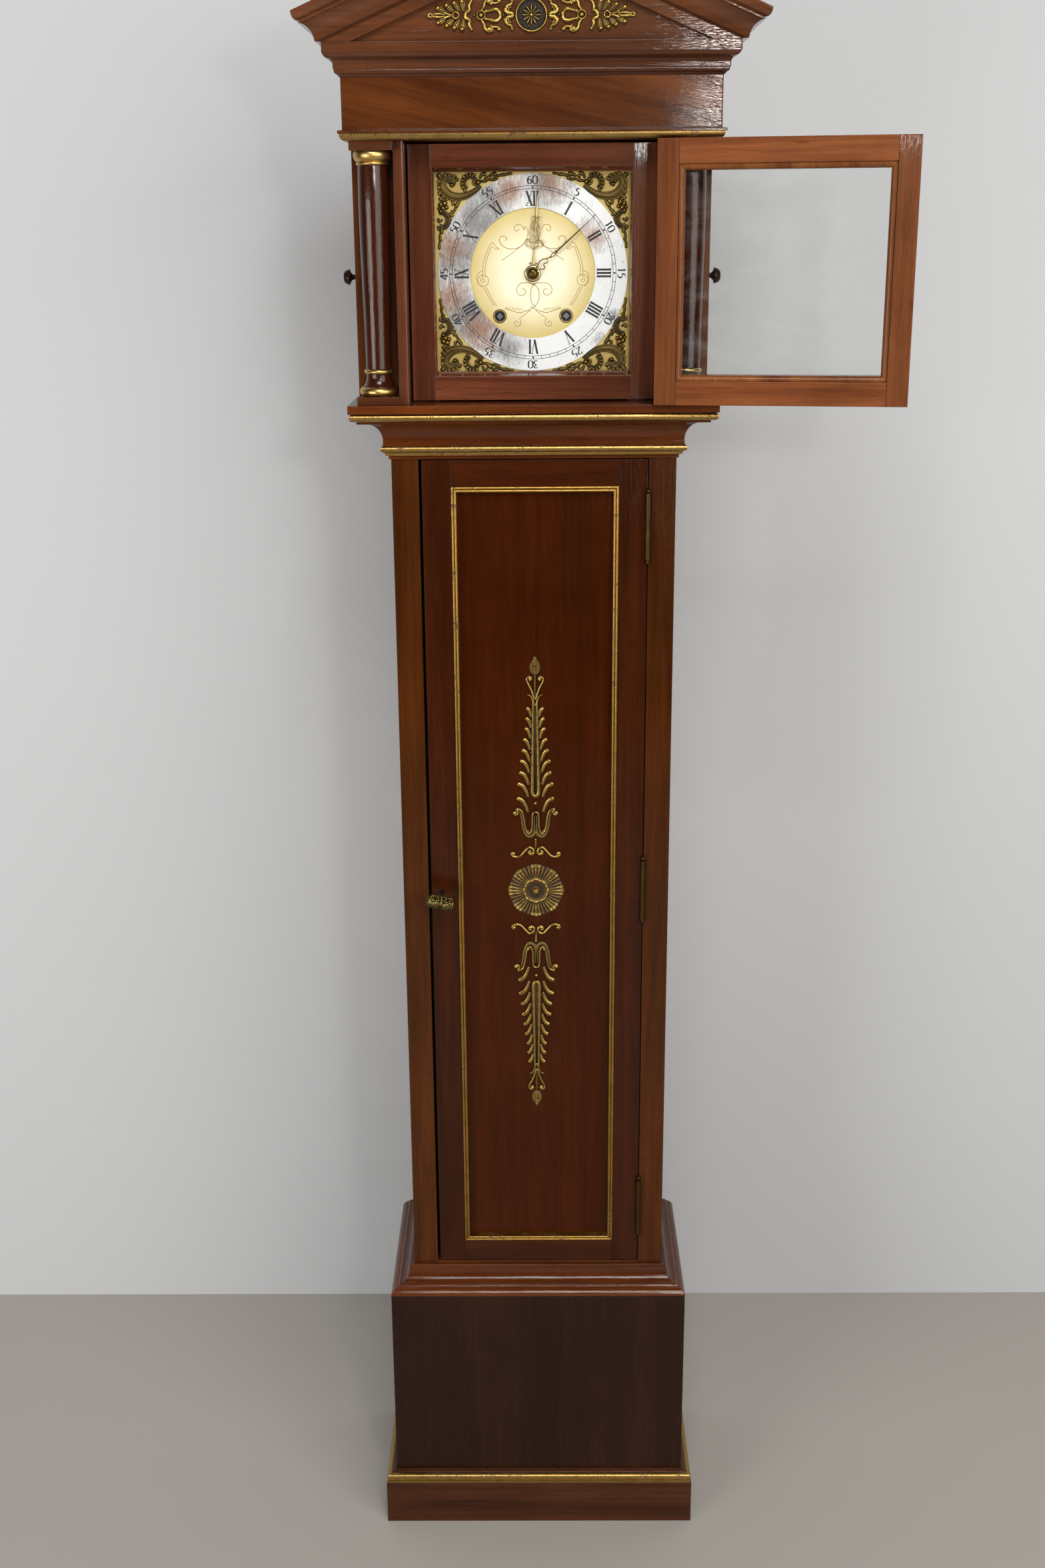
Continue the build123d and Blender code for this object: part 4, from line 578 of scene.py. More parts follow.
def spread(values, count):
    """One value, or a few spaced evenly along a path, as one number for each of its points."""
    values = np.atleast_1d(np.asarray(values, float))
    return np.interp(np.linspace(0, 1, count), np.linspace(0, 1, len(values)), values)


def across(run):
    """Unit vectors square to the given ones, on their left."""
    length = np.maximum(np.linalg.norm(run, axis=1, keepdims=True), 1e-9)
    return np.stack([-run[:, 1], run[:, 0]], axis=1) / length


def carried(path, width, height, sides=10, sink=0.25, power=1.0):
    """Raised section carried along a path in X and Z.

    Across the path a point lies at half the width times the cosine of its angle, and it rises by the height
    times the sine to a power: 1 gives half an ellipse, and less gives a fuller back. Below the ground the
    section is flat, and both ends are closed. Several widths or heights are spread along the path.
    """
    path = np.asarray(path, float)
    count = len(path)
    beside = across(np.gradient(path, axis=0))
    turn = np.linspace(0, 2 * np.pi, sides, endpoint=False)
    side = 0.5 * spread(width, count)[:, None] * np.cos(turn)
    rise = np.where(np.sin(turn) > 0, spread(height, count)[:, None] * np.abs(np.sin(turn)) ** power, -sink)
    points = sheet(path[:, :1] + beside[:, :1] * side, -rise, path[:, 1:] + beside[:, 1:] * side)
    return points, tube_faces(count, sides)


def swept(points, count, width, height, *section):
    """Section carried along the smooth curve through a few points."""
    return carried(smooth_path(points, count), width, height, *section)


def plumb(start, end, count):
    """Straight path up or down the middle."""
    return np.stack([np.zeros(count), np.linspace(start, end, count)], axis=1)


def dished(centre, radius, height, rings=12, spokes=48, sink=0.25, squeeze=(1.0, 1.0)):
    """Relief over an outline. The outline is radius(angle) and the rise is height(share, angle), where share
    runs from 0 in the middle to 1 at the rim. The foot is flat."""
    angle = np.linspace(0, 2 * np.pi, spokes, endpoint=False)
    share = np.linspace(0, 1, rings + 1)[1:, None]
    reach = radius(angle)[None, :] * share
    x = centre[0] + squeeze[0] * reach * np.cos(angle)
    z = centre[1] + squeeze[1] * reach * np.sin(angle)
    hub_rise = float(np.mean(height(np.array([[1e-6]]), angle[None, :])))
    points = np.vstack([sheet(x, -height(share, angle[None, :]), z), sheet(x[-1], sink, z[-1]),
                        [(centre[0], -hub_rise, centre[1]), (centre[0], sink, centre[1])]])
    faces = grid_faces(rings + 1, spokes).tolist()
    last = rings * spokes
    hub = last + spokes
    for i in range(spokes):
        following = (i + 1) % spokes
        faces += [[hub, following, i], [hub + 1, last + i, last + following]]
    return points, faces


def turned(profile, centre=(0.0, 0.0), spokes=24, solid=True):
    """Lathe work about the Y axis: the profile lists radius and depth. Solid work has its two ends closed."""
    profile = np.asarray(profile, float)
    angle = np.linspace(0, 2 * np.pi, spokes, endpoint=False)
    points = sheet(centre[0] + profile[:, :1] * np.cos(angle), profile[:, 1:],
                   centre[1] + profile[:, :1] * np.sin(angle))
    return points, tube_faces(len(profile), spokes) if solid else grid_faces(len(profile), spokes).tolist()


def mirrored(shells, axis):
    """Mirror images of shells: axis 0 swaps left and right, axis 2 swaps top and bottom."""
    sign = np.ones(3)
    sign[axis] = -1
    return [(p * sign, [f[::-1] for f in faces]) for p, faces in shells]


def flipped(shells):
    """Shells and their images on the other side of the middle."""
    return shells + mirrored(shells, 0)


def placed(shells, x=0.0, y=0.0, z=0.0, turn=0.0):
    """Shells turned clockwise by degrees as seen from the front, and moved."""
    c, s = math.cos(math.radians(turn)), math.sin(math.radians(turn))
    spin = np.array([(c, 0, -s), (0, 1, 0), (s, 0, c)])
    return [(p @ spin + (x, y, z), faces) for p, faces in shells]


def cast(name, shells, material, body, smooth=True, bevel=0.0):
    """Join shells given in millimetres in one object at the origin, with its faces turned outwards."""
    points = np.vstack([p for p, _ in shells]) * MM
    faces, offset = [], 0
    for p, own in shells:
        faces += [[int(i) + offset for i in face] for face in own]
        offset += len(p)
    mesh = bpy.data.meshes.new(name)
    mesh.from_pydata(points.tolist(), [], faces)
    work = bmesh.new()
    work.from_mesh(mesh)
    bmesh.ops.remove_doubles(work, verts=work.verts, dist=1e-8)
    bmesh.ops.recalc_face_normals(work, faces=work.faces)
    work.to_mesh(mesh)
    work.free()
    mesh.polygons.foreach_set("use_smooth", np.full(len(mesh.polygons), smooth))
    thing = bpy.data.objects.new(name, mesh)
    bpy.context.collection.objects.link(thing)
    mesh.materials.append(material)
    if bevel:
        edge = thing.modifiers.new("soft_arris", "BEVEL")
        edge.width = bevel * MM
        edge.segments = 2
        edge.limit_method = "ANGLE"
    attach(thing, body)
    print(name, len(mesh.polygons), "faces")
    return thing


# %% [markdown]
# ## The founder's vocabulary
# Cast ornament is put together from a few forms: a lobe that swells to a round tip, a bead, a scroll and a
# plain swept stem. A drawing below lists its forms, and `drawn` makes them.

# %% Lobes, beads and drawings
def lobe(points, root, tip, height, count=16, power=1.0):
    """Frond or petal: narrow at its root, swelling to a round tip."""
    share = np.linspace(0, 1, count)
    width = root + (tip - root) * share ** 1.3
    width = width * np.sqrt(np.clip(1 - ((share - 0.86) / 0.14).clip(0) ** 2, 0.03, 1))
    rise = height * (0.6 + 0.4 * share) * np.sqrt(width / width.max())
    return carried(smooth_path(points, count), width, rise, power=power)


def bead(centre, radius, height, fall=0.88, rings=5, spokes=18, base=0.0):
    """Round bead: it rises by the height times the root of one less a share of the squared distance."""
    return dished(centre, lambda a: radius + 0 * a, lambda s, a: base + height * np.sqrt(1 - fall * s ** 2),
                  rings, spokes)


def drawn(curves=(), scrolls=(), lobes=(), beads=()):
    """Every form of a drawing. A curve lists its points, their count, widths and heights; a scroll lists its
    volute, width and height."""
    return ([swept(*curve) for curve in curves] + [carried(volute(*coil), *size) for coil, *size in scrolls]
            + [lobe(*form) for form in lobes] + [bead(*form) for form in beads])


# %% [markdown]
# ## Trunk door appliqués
# A founder cast this set in three pieces: a round rosette and two tall palmettes, one the other's mirror.
# Each palmette starts at the rosette with a pair of S-scrolls, then a lyre, a long ribbed leaf with nine
# fronds a side, a heart of two scrolls and a pine cone. Fronds are short swept lobes, thin at the root and
# round at the tip.

# %% Palmette
PANEL_FRONT = float(node_box("trunk_door_panel")[0][1])
ORNAMENT_Z = 933.8
FROND_TIPS = [(11.4, 242), (12.3, 229), (13.3, 216), (15.6, 202), (17.5, 188), (19.8, 174), (21, 159),
              (23.5, 144), (24.2, 125)]
FROND_BENDS = [(0, 1), (0.2, 0.55), (0.5, 0.18)]    # shares of a frond's reach and drop, from its root


def frond(rank, x, z):
    """One of the nine fronds of a side, counted from the top, with its tip at X and Z."""
    root_x, drop = 4.6 + rank * 0.62, 12.0 + rank * 0.9
    bends = [(root_x + (x - root_x) * share, z - drop * fall) for share, fall in FROND_BENDS]
    return lobe(bends + [(x, z)], 4.4, 6.8 + rank * 0.12, 4.2, 20, 0.7)


def vein(rank):
    """One of the eight short ribs between stem and rail."""
    z, reach = 238 - rank * 13.5, 3.6 + rank * 0.42
    return swept([(1.6, z - 6), (reach * 0.7, z - 2), (reach + 1.2, z + 2.0)], 8, 0.8, 4.3)


def cone_outline(a):
    """Pine cone: a near circle with a pointed top, pinched beside the point."""
    from_tip = np.abs(np.arctan2(np.sin(a - np.pi / 2), np.cos(a - np.pi / 2)))
    return 7.4 + 1.1 * np.exp(-(from_tip / 0.3) ** 2) - 1.2 * np.exp(-((from_tip - 0.8) / 0.45) ** 2)


def cone_scales(s, a):
    """Dome with a net of two crossing waves, which fades at the rim."""
    x, z = s * np.cos(a) * 7, s * np.sin(a) * 12
    net = np.abs(np.sin(0.95 * (x + z))) * np.abs(np.sin(0.95 * (x - z)))
    return 2.3 * np.sqrt(np.clip(1 - s ** 2, 0, 1)) + 2.3 * net * (1 - s ** 4)


def palmette():
    """Upper appliqué, with heights counted from the rosette's centre."""
    swell = np.linspace(0, 1, 30)
    rail = np.vstack([np.stack([2.3 + 1.7 * swell, 252 - 118 * swell], axis=1),
                      smooth_path([(3.8, 131), (2.4, 127.8), (0.0, 126.8)], 8)])
    heart = np.vstack([smooth_path([(0.8, 252), (4.3, 264), (9.4, 274.6)], 14),
                       volute((6.4, 278.6), 4.4, 1.1, -30, 330, 26)])
    lyre = np.vstack([volute((25.6, 105.2), 1.6, 4.6, 400, 110, 26),
                      smooth_path([(23.4, 110.9), (17.5, 107.5), (14.4, 97), (12.6, 84), (8.6, 77.5),
                                   (5.0, 82), (4.2, 94), (3.6, 103.6), (0.0, 106.6)], 60)])
    backing = smooth_path([(20.5, 108.0), (17.3, 98.0), (15.6, 86), (11.6, 75.2), (6.0, 73.6), (1.2, 78.5),
                           (0.4, 90), (0.2, 101)], 44)
    joint = smooth_path([(25.2, 45.8), (19.5, 47.6), (14.5, 53.0), (9.0, 58.6), (4.2, 57.6)], 26)
    s_scroll = np.vstack([volute((28.4, 50.4), 1.3, 4.3, 460, 235, 24), joint,
                          volute((6.7, 52.2), 5.2, 1.4, 130, 470, 30)])
    sides = [frond(rank, x, z) for rank, (x, z) in enumerate(FROND_TIPS)] + [vein(rank) for rank in range(8)]
    sides += [carried(rail, np.append(2.8 + 2.1 * swell, np.full(8, 5.2)), 3.2, 12, power=0.7),
              carried(heart, (3.6, 2.8), 3.6), carried(lyre, 3.3, 4.1), carried(s_scroll, 4.2, 3.9),
              carried(backing, np.linspace(4.0, 8.0, 44) * np.sin(np.linspace(0.5, 2.7, 44)) ** 0.3, 1.9)]
    sides += drawn(curves=[([(0.8, 244), (3.2, 252), (5.5, 257), (9.4, 258.5)], 14, (3.6, 1.4), 3.0)],
                   beads=[((6.2, 279.2), 2.5, 4.0, 0.8, 4, 14), ((26.0, 105.0), 3.3, 4.5, 0.85, 5, 16),
                          ((9.6, 81.0), 1.7, 4.2, 0.85, 4, 12), ((28.2, 50.6), 3.1, 4.6, 0.85, 5, 16),
                          ((6.8, 50.6), 3.1, 4.6, 0.85, 5, 16)])
    return flipped(sides) + [
        carried(plumb(250, 130, 3), (4.0, 8.0), 0.7), carried(plumb(250, 284, 10), 2.6, 1.8),
        carried(plumb(70.5, 56.0, 12), (4.2, 1.6), (4.2, 2.4)), bead((0, 117.6), 2.6, 4.0, 0.9, 5, 16),
        dished((0, 294.4), cone_outline, cone_scales, 22, 88, squeeze=(1.0, 1.6))]


# %% [markdown]
# The rosette is one relief over a lobed outline: eight ribbed leaves round a dished middle, dark with patina
# and some painted shade, a ring of small scallops at the dish's lip, and a boss with beads in the centre.


# %% Rosette and the finished set
def rosette():
    """Round appliqué about its own centre."""
    def rim(a):
        return 35.6 + 0.9 * np.cos(8 * a) + 0.35 * np.cos(40 * a)

    def rise(s, a):
        ribs = 1.2 * np.cos(40 * a) * np.exp(-((s - 0.72) / 0.2) ** 2)
        leaves = 2.0 * np.exp(-((s - 0.72) / 0.24) ** 2) * (0.72 + 0.28 * np.cos(8 * a))
        waved = (0.5 + 0.5 * np.cos(8 * a)) * (0.8 + 0.2 * np.cos(40 * a))
        lip = 2.6 * np.exp(-((s - 0.92) / 0.05) ** 2) * waved
        dish = 0.66 * (s / 0.4) ** 2 * (s < 0.42)
        scallop = 2.6 * np.exp(-((s - 0.43) / 0.045) ** 2) * (0.6 + 0.4 * np.abs(np.cos(8 * a)))
        boss = 4.8 * np.exp(-(s / 0.12) ** 4)
        return 0.5 + ribs + leaves + lip + dish + scallop + boss

    beads = [bead((1.9 * math.cos(a), 1.9 * math.sin(a)), 1.3, 0.7, 0.9, 4, 12, 6.1)
             for a in np.radians([90, 210, 330])]
    tongue = lobe([(0, 22.5), (0, 30), (0, 36.2)], 1.0, 2.6, 3.9, 12)
    return [dished((0, 0), rim, rise, 46, 240)] + beads + [placed([tongue], turn=45 * k)[0] for k in range(8)]


ORNAMENT_BRASS = cast_brass("trunk_ornament_brass", PANEL_FRONT, (0.3, 3.8), (50, 34, 12), (176, 142, 74),
                            0.26)
upper = palmette()
appliques = cast("trunk_door_appliques",
                 placed(upper + mirrored(upper, 2) + rosette(), 0.0, PANEL_FRONT, ORNAMENT_Z), ORNAMENT_BRASS,
                 "trunk_door")
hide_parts("trunk_door_ornaments")

# %% [markdown]
# ## Gilt frame round the panel
# The door's panel is held in by a gilt strip with two small half-rounds side by side and a sharp groove
# between them. One section is carried round the four mitred corners: at each corner a point moves inwards
# by its distance from the outer edge, and towards the viewer by its height.

# %% Panel frame
FRAME_WIDTH = 7.0


def twin_bead(width, depth):
    """Closed section: two half-rounds on upright cheeks. It lists distance inwards and height."""
    radius = width / 4
    turn = np.linspace(np.pi, 0, 13)
    arches = [np.stack([middle + radius * np.cos(turn), depth - radius + radius * np.sin(turn)], axis=1)
              for middle in (radius, 3 * radius)]
    return np.vstack([[(0.0, 0.0)], arches[0], arches[1][1:], [(width, 0.0)]])


def mitred(section, low, high):
    """Section carried round the rectangle between two corners of the strip's box."""
    corners = np.array([(low[0], low[2], 1, 1), (high[0], low[2], -1, 1), (high[0], high[2], -1, -1),
                        (low[0], high[2], 1, -1), (low[0], low[2], 1, 1)])
    inwards, height = section[:, 0], section[:, 1]
    points = sheet(corners[:, :1] + corners[:, 2:3] * inwards, high[1] - height,
                   corners[:, 1:2] + corners[:, 3:4] * inwards)
    return points, grid_faces(5, len(section)).tolist()


strip_low, strip_high = node_box("trunk_door_gilt_frame")
strip = mitred(twin_bead(FRAME_WIDTH, float(strip_high[1] - strip_low[1])), strip_low, strip_high)
panel_frame = cast("panel_gilt_frame", [strip], PANEL_GILT, "trunk_door", smooth=False)
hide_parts("trunk_door_gilt_frame")

# %% [markdown]
# ## Pediment ornament
# One casting lies across the tympanum: a daisy in a plain round ring, and on each side a small leaf scroll,
# a C-scroll with a round boss and a trailing S, a wavy stem and a palmette fan. The lower half is the upper
# half turned over, so only one quarter is drawn.

# %% Pediment ornament
TYMPANUM_FRONT = float(node_box("pediment_ornament")[1][1])
BOSS_Z = float(np.mean(node_box("pediment_ornament"), axis=0)[2])

def doubled(shells):
    """Shells and their images above or below the middle."""
    return shells + mirrored(shells, 2)


def daisy():
    """Medallion: a plain ring round two layers of twelve petals and a button."""
    plate = dished((0, 0), lambda a: 17.3 + 0 * a, lambda s, a: 0.4 + 3.6 * np.exp(-((s - 0.94) / 0.06) ** 4),
                   24, 72)
    back = lobe([(0, 3.0), (0, 8.0), (0, 13.6)], 1.6, 2.4, 1.7, 10)
    front = lobe([(0, 2.0), (0, 6.0), (0, 10.4)], 2.0, 2.3, 3.3, 10)
    petals = [placed([petal], turn=start + 30 * k)[0] for petal, start in ((back, 15), (front, 0))
              for k in range(12)]
    return [plate] + petals + [bead((0, 0), 2.6, 4.6)]


def fan_frond(root, middle, tip):
    """Frond of the fan: a spine between two raised rims, with a bead at its tip."""
    spine = smooth_path([root, middle, tip], 18)
    reach = across(np.gradient(spine, axis=0)) * spread((0.8, 1.9, 2.2), 18)[:, None]
    rims = [carried((spine + side * reach)[:14], 1.3, (1.8, 3.0, 3.8)) for side in (-1, 1)]
    return [carried(spine, (2.0, 3.0, 4.6), (2.0, 2.8, 3.8)), bead(tip, 3.0, 4.9)] + rims


def pediment_quarter():
    """Lower right quarter of the side scrolls."""
    shells = drawn(
        curves=[
            ([(19.2, 0.0), (21.5, -1.8), (25.2, -2.2), (27.6, -5.2), (25.4, -9.0), (21.6, -10.6),
              (20.4, -14.2)], 34, (5.2, 5.2, 2.6), (3.8, 3.8, 2.6)),
            ([(33.4, 0.0), (33.8, -2.6), (36.6, -5.4), (40.6, -5.6), (44.4, -4.4), (48.6, -3.8)], 30,
             (4.4, 5.2, 3.0), (3.6, 4.4, 3.2)),
            ([(53.4, -4.6), (50.8, -8.4), (49.6, -13.0), (45.6, -15.6), (41.2, -14.0)], 30, (3.2, 4.4, 6.2),
             (3.0, 3.8, 3.6)),
            ([(42.6, -12.4), (39.0, -11.6), (35.6, -12.4), (33.4, -14.6)], 18, (4.0, 3.0, 4.2), 3.4),
            ([(71.0, 0.0), (70.0, -2.6), (66.2, -4.8), (66.6, -8.2), (65.6, -11.6), (63.6, -14.2)], 30,
             (5.2, 4.6, 3.0), (4.0, 4.2, 3.0)),
            ([(92.0, -0.6), (98.0, -1.6), (104.0, -1.2), (107.4, -0.2)], 24, (2.4, 4.2, 2.6),
             (2.6, 3.0, 2.6))],
        scrolls=[(((25.6, -5.2), 3.4, 1.0, 40, -330, 26), 1.6, 3.8),
                 (((53.8, 0.0), 4.3, 4.3, 0, -180, 16), 1.8, 3.6),
                 (((80.8, 0.0), 3.2, 3.2, 0, -180, 16), 2.2, 4.3)],
        lobes=[([(47.0, -14.6), (43.6, -12.6), (42.4, -9.6)], 3.0, 3.4, 4.2, 12),
               ([(104.6, -0.2), (108.0, -1.8), (111.2, -0.1)], 2.6, 4.4, 4.7, 12),
               ([(84.0, -0.6), (88.6, -1.0), (94.6, -3.4)], 2.6, 3.6, 4.3, 14)],
        beads=[((22.6, -7.4), 1.7, 4.2), ((20.6, -14.0), 1.9, 3.4), ((48.4, -3.8), 2.4, 4.3),
               ((45.2, -13.8), 3.3, 4.5), ((34.4, -13.9), 2.8, 4.1), ((66.4, -4.6), 2.4, 4.7),
               ((64.0, -13.8), 2.1, 3.6)])
    shells += [carried([(39.0 + 2.4 * k, -7.4 + 0.7 * k), (40.6 + 2.4 * k, -3.4 + 0.5 * k)], 1.2, 4.6)
               for k in range(3)]
    shells += fan_frond((72.6, -3.4), (73.0, -9.6), (74.2, -13.6))
    shells += fan_frond((76.6, -3.6), (79.6, -8.8), (82.4, -12.2))
    shells += fan_frond((83.0, -3.2), (87.0, -7.0), (90.6, -10.0))
    return shells + fan_frond((90.6, -2.6), (95.4, -5.2), (99.8, -7.2))


def pediment_casting():
    """Whole ornament about the medallion's centre."""
    sides = flipped(doubled(pediment_quarter()))
    return daisy() + sides + flipped(drawn(beads=[((29.9, 0), 1.3, 3.0), ((53.8, 0), 2.8, 4.4),
                                                  ((61.3, 0), 1.4, 3.2)]))

PEDIMENT_BRASS = cast_brass("pediment_ornament_brass", TYMPANUM_FRONT, (0.3, 4.4), (26, 18, 7), (190, 156, 78),
                            0.26)
pediment = cast("pediment_casting", placed(pediment_casting(), 0, TYMPANUM_FRONT, BOSS_Z), PEDIMENT_BRASS,
                "case")
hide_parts("pediment_ornament")


# %% [markdown]
# ## Dial corners
# Four rococo castings fill the corners between the ring and the plate's edge. Each has a thick ribbed
# C-scroll in the corner, a fanned shell beside it, berries, leaves and a beaded scroll that trails down the
# side. The upper left one is drawn and the other three are its mirror images.

# %% Dial corners
PLATE_FRONT = float(node_box("dial_plate")[0][1])
RING_FRONT = float(node_box("chapter_ring")[0][1])
FULL = 1.25     # how far the leaves swell beyond their drawn widths


def ribbed(points, count, widths, heights, ribs):
    """Wide band with raised ribs along it: each rib keeps its share of the band's half width."""
    path = smooth_path(points, count)
    width, height = spread(widths, count), spread(heights, count)
    beside = across(np.gradient(path, axis=0))
    shells = [carried(path, width, height * 0.7, 12)]
    for share in ribs:
        rib = path + beside * (0.5 * share * width)[:, None]
        shells.append(carried(rib, width * 0.2, height * (1.15 - 0.3 * abs(share)), 6))
    return shells


CORNER_BAND = [(-91.6, 96.4), (-89.8, 100.0), (-92.6, 104.0), (-97.4, 105.2), (-102.0, 102.0), (-103.0, 96.4),
               (-100.4, 90.6), (-95.0, 86.6), (-87.6, 84.6), (-79.6, 85.0), (-71.4, 87.6), (-64.4, 91.8),
               (-59.6, 96.8)]
SIDE_BAND = [(-106.4, 67.2), (-101.2, 67.0), (-96.8, 62.2), (-97.2, 55.8), (-101.6, 51.6), (-106.6, 53.0)]
FAN_ROOT, SHELL_HUB = np.array([-98.6, 99.0]), np.array([-70.8, 99.0])
FAN_LEAVES = [      # tip, bend and width
    ((-107.4, 109.8), (-104.4, 104.4), 5.2), ((-100.2, 110.2), (-98.6, 106.4), 4.8),
    ((-93.6, 110.0), (-94.6, 106.4), 4.6), ((-87.4, 108.0), (-89.6, 105.6), 4.4),
    ((-83.6, 103.4), (-87.4, 102.8), 3.6), ((-108.2, 101.6), (-104.8, 100.8), 4.8),
    ((-108.4, 94.4), (-105.0, 95.0), 4.6), ((-107.4, 87.0), (-104.0, 90.0), 4.4),
    ((-102.6, 83.0), (-101.2, 87.0), 3.6)]
TRAILING_LEAVES = [     # root width, height and count of a group, then each leaf's points and tip width
    (3.0, 2.7, 14, [([(-60.0, 103.6), (-57.4, 108.2), (-52.6, 109.4)], 5.0),
                    ([(-60.0, 101.0), (-53.6, 101.6), (-48.6, 106.4)], 5.2),
                    ([(-52.0, 103.4), (-46.4, 108.0), (-40.4, 108.8)], 4.8),
                    ([(-49.0, 102.6), (-43.6, 102.8), (-39.0, 105.4)], 3.6),
                    ([(-42.4, 105.8), (-37.0, 107.4), (-30.0, 108.4)], 3.6),
                    ([(-33.0, 107.0), (-28.0, 108.8), (-22.6, 109.4)], 2.6)]),
    (2.8, 2.7, 14, [([(-84.6, 84.6), (-84.2, 79.0), (-88.6, 72.8)], 4.6),
                    ([(-88.4, 84.6), (-91.0, 80.0), (-90.4, 75.0)], 3.6),
                    ([(-86.4, 75.0), (-90.0, 69.0), (-96.6, 63.2)], 3.8),
                    ([(-92.0, 70.0), (-92.6, 66.0), (-90.8, 62.8)], 2.8),
                    ([(-99.0, 88.6), (-103.4, 84.6), (-106.0, 80.4)], 4.2),
                    ([(-96.6, 87.4), (-98.2, 83.6), (-97.2, 80.4)], 3.4)]),
    (2.6, 2.5, 12, [([(-98.6, 54.6), (-104.0, 49.4), (-104.6, 44.0)], 4.6),
                    ([(-103.0, 50.0), (-107.6, 49.0), (-108.0, 53.6)], 3.0),
                    ([(-104.4, 47.0), (-106.4, 41.6), (-105.6, 35.4)], 3.6),
                    ([(-105.4, 38.0), (-107.4, 33.0), (-107.6, 27.0)], 2.6),
                    ([(-103.0, 60.0), (-107.0, 57.4), (-108.2, 61.6)], 3.2)])]
BERRIES = [((-100.4, 77.4), 3.2), ((-105.0, 76.0), 3.0), ((-102.6, 72.0), 3.0), ((-105.2, 68.6), 2.5),
           ((-98.4, 73.0), 2.5), ((-102.4, 81.2), 2.4), ((-107.0, 72.2), 2.0)]


def fanned_shell():
    """Eleven rays round a hub, the last three shorter, and the hub's rim."""
    angles = np.radians(232 - 24.0 * np.arange(11))
    rays = np.stack([np.cos(angles), np.sin(angles)], axis=1)
    tips = [11.8] * 8 + [9.4] * 3
    shells = [lobe([SHELL_HUB + ray * reach for reach in (5.0, 8.4, tip)], 2.2, 5.2, 3.0, 10)
              for ray, tip in zip(rays, tips)]
    return shells + [carried(volute(SHELL_HUB, 5.4, 5.4, 232, -8, 26), 1.6, 2.8)]


def corner_casting():
    """Upper left corner, about the dial's centre."""
    shells = ribbed(CORNER_BAND, 90, (4.6, 11.6, 5.4), (2.4, 3.0, 2.6), (-0.82, -0.1, 0.75)) + fanned_shell()
    shells += ribbed(SIDE_BAND, 40, (4.6, 8.2, 4.8), (2.0, 2.6, 2.2), (-0.78, 0.78))
    shells += [lobe([FAN_ROOT + 0.15 * (np.array(tip) - FAN_ROOT), bend, tip], 4.0, width * FULL, 2.7, 16)
               for tip, bend, width in FAN_LEAVES]
    shells += [lobe(leaf, root, tip * FULL, height, count)
               for root, height, count, leaves in TRAILING_LEAVES for leaf, tip in leaves]
    shells += [bead(tuple(place), 0.9, 3.6) for place in smooth_path(SIDE_BAND, 40)[7:33:3]]
    shells += [bead(place, radius, 3.1) for place, radius in BERRIES]
    return shells + drawn(scrolls=[(((-65.2, 99.4), 4.2, 1.8, -20, 300, 24), 2.6, 2.8)],
                          beads=[((-91.8, 97.2), 2.6, 3.8), ((-61.6, 100.0), 3.0, 3.8),
                                 ((-44.0, 104.0), 1.8, 3.4), ((-53.6, 104.6), 1.5, 3.2)])


def on_dial(shells, depth, turn=0.0):
    """Shells drawn about the dial's centre, moved there at a depth."""
    return placed(shells, DIAL_X, depth, DIAL_Z, turn)


SPANDREL_BRASS = cast_brass("dial_corner_brass", PLATE_FRONT, (0.2, 3.2), (12, 9, 3), (118, 94, 40), 0.24)
corners = cast("dial_corner_castings", on_dial(flipped(doubled(corner_casting())), PLATE_FRONT),
               SPANDREL_BRASS, "case")
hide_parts("dial_spandrels")


# %% [markdown]
# ## Numerals
# The hour numerals are Roman and stand with their feet to the centre; the minutes are Arabic figures in the
# outer band, with a ladder of sixty steps between the two. An engraver cuts broad and hair strokes and
# fills them with black wax, so each stroke here is a thin bar or a pen path laid on the silver.


# %% Numeral helpers
def bars(starts, ends, widths, front=0.0, thick=0.06):
    """Straight strokes as thin boxes, all at once: each runs from its start to its end with its own width."""
    starts, ends = np.asarray(starts, float), np.asarray(ends, float)
    half = across(ends - starts) * (np.asarray(widths, float)[:, None] / 2)
    flat = np.stack([starts - half, starts + half, ends + half, ends - half], axis=1)
    layers = [np.insert(flat, 1, depth, axis=2) for depth in (front - thick, front + 0.02)]
    box_faces = np.array([(0, 1, 2, 3), (7, 6, 5, 4), (0, 4, 5, 1), (1, 5, 6, 2), (2, 6, 7, 3), (3, 7, 4, 0)])
    faces = (box_faces[None] + 8 * np.arange(len(starts))[:, None, None]).reshape(-1, 4)
    return np.concatenate(layers, axis=1).reshape(-1, 3), faces.tolist()


def hoop(radius, width, front, back, spokes, centre=(0.0, 0.0)):
    """Flat ring of a given width: a four-cornered section turned about its centre."""
    inner, outer = radius - width / 2, radius + width / 2
    section = [(inner, front), (outer, front), (outer, back), (inner, back), (inner, front)]
    return turned(section, centre, spokes, solid=False)


def on_ring(points, degrees, foot):
    """Turn points drawn upright, with their foot at zero, to their place round the ring."""
    a = math.radians(degrees)
    p = np.asarray(points, float)
    aside, reach = p[..., 0], p[..., 1] + foot
    return np.stack([aside * math.cos(a) + reach * math.sin(a), reach * math.cos(a) - aside * math.sin(a)],
                    axis=-1)


# %% [markdown]
# A Roman numeral is a row of strokes. Each letter gives its broad strokes, its hair strokes and its serifs
# over an advance width, and the row is centred on its hour.

# %% Hour numerals
TALL, BROAD, HAIR = 16.0, 2.3, 0.72     # a numeral's height, and the widths of its two strokes
NUMERAL_FOOT = 74.2                     # radius that the hours stand on


def serifs(places, levels, half):
    """Level hair strokes at some places and heights."""
    return [((x - half, z), (x + half, z), HAIR) for x in places for z in levels]


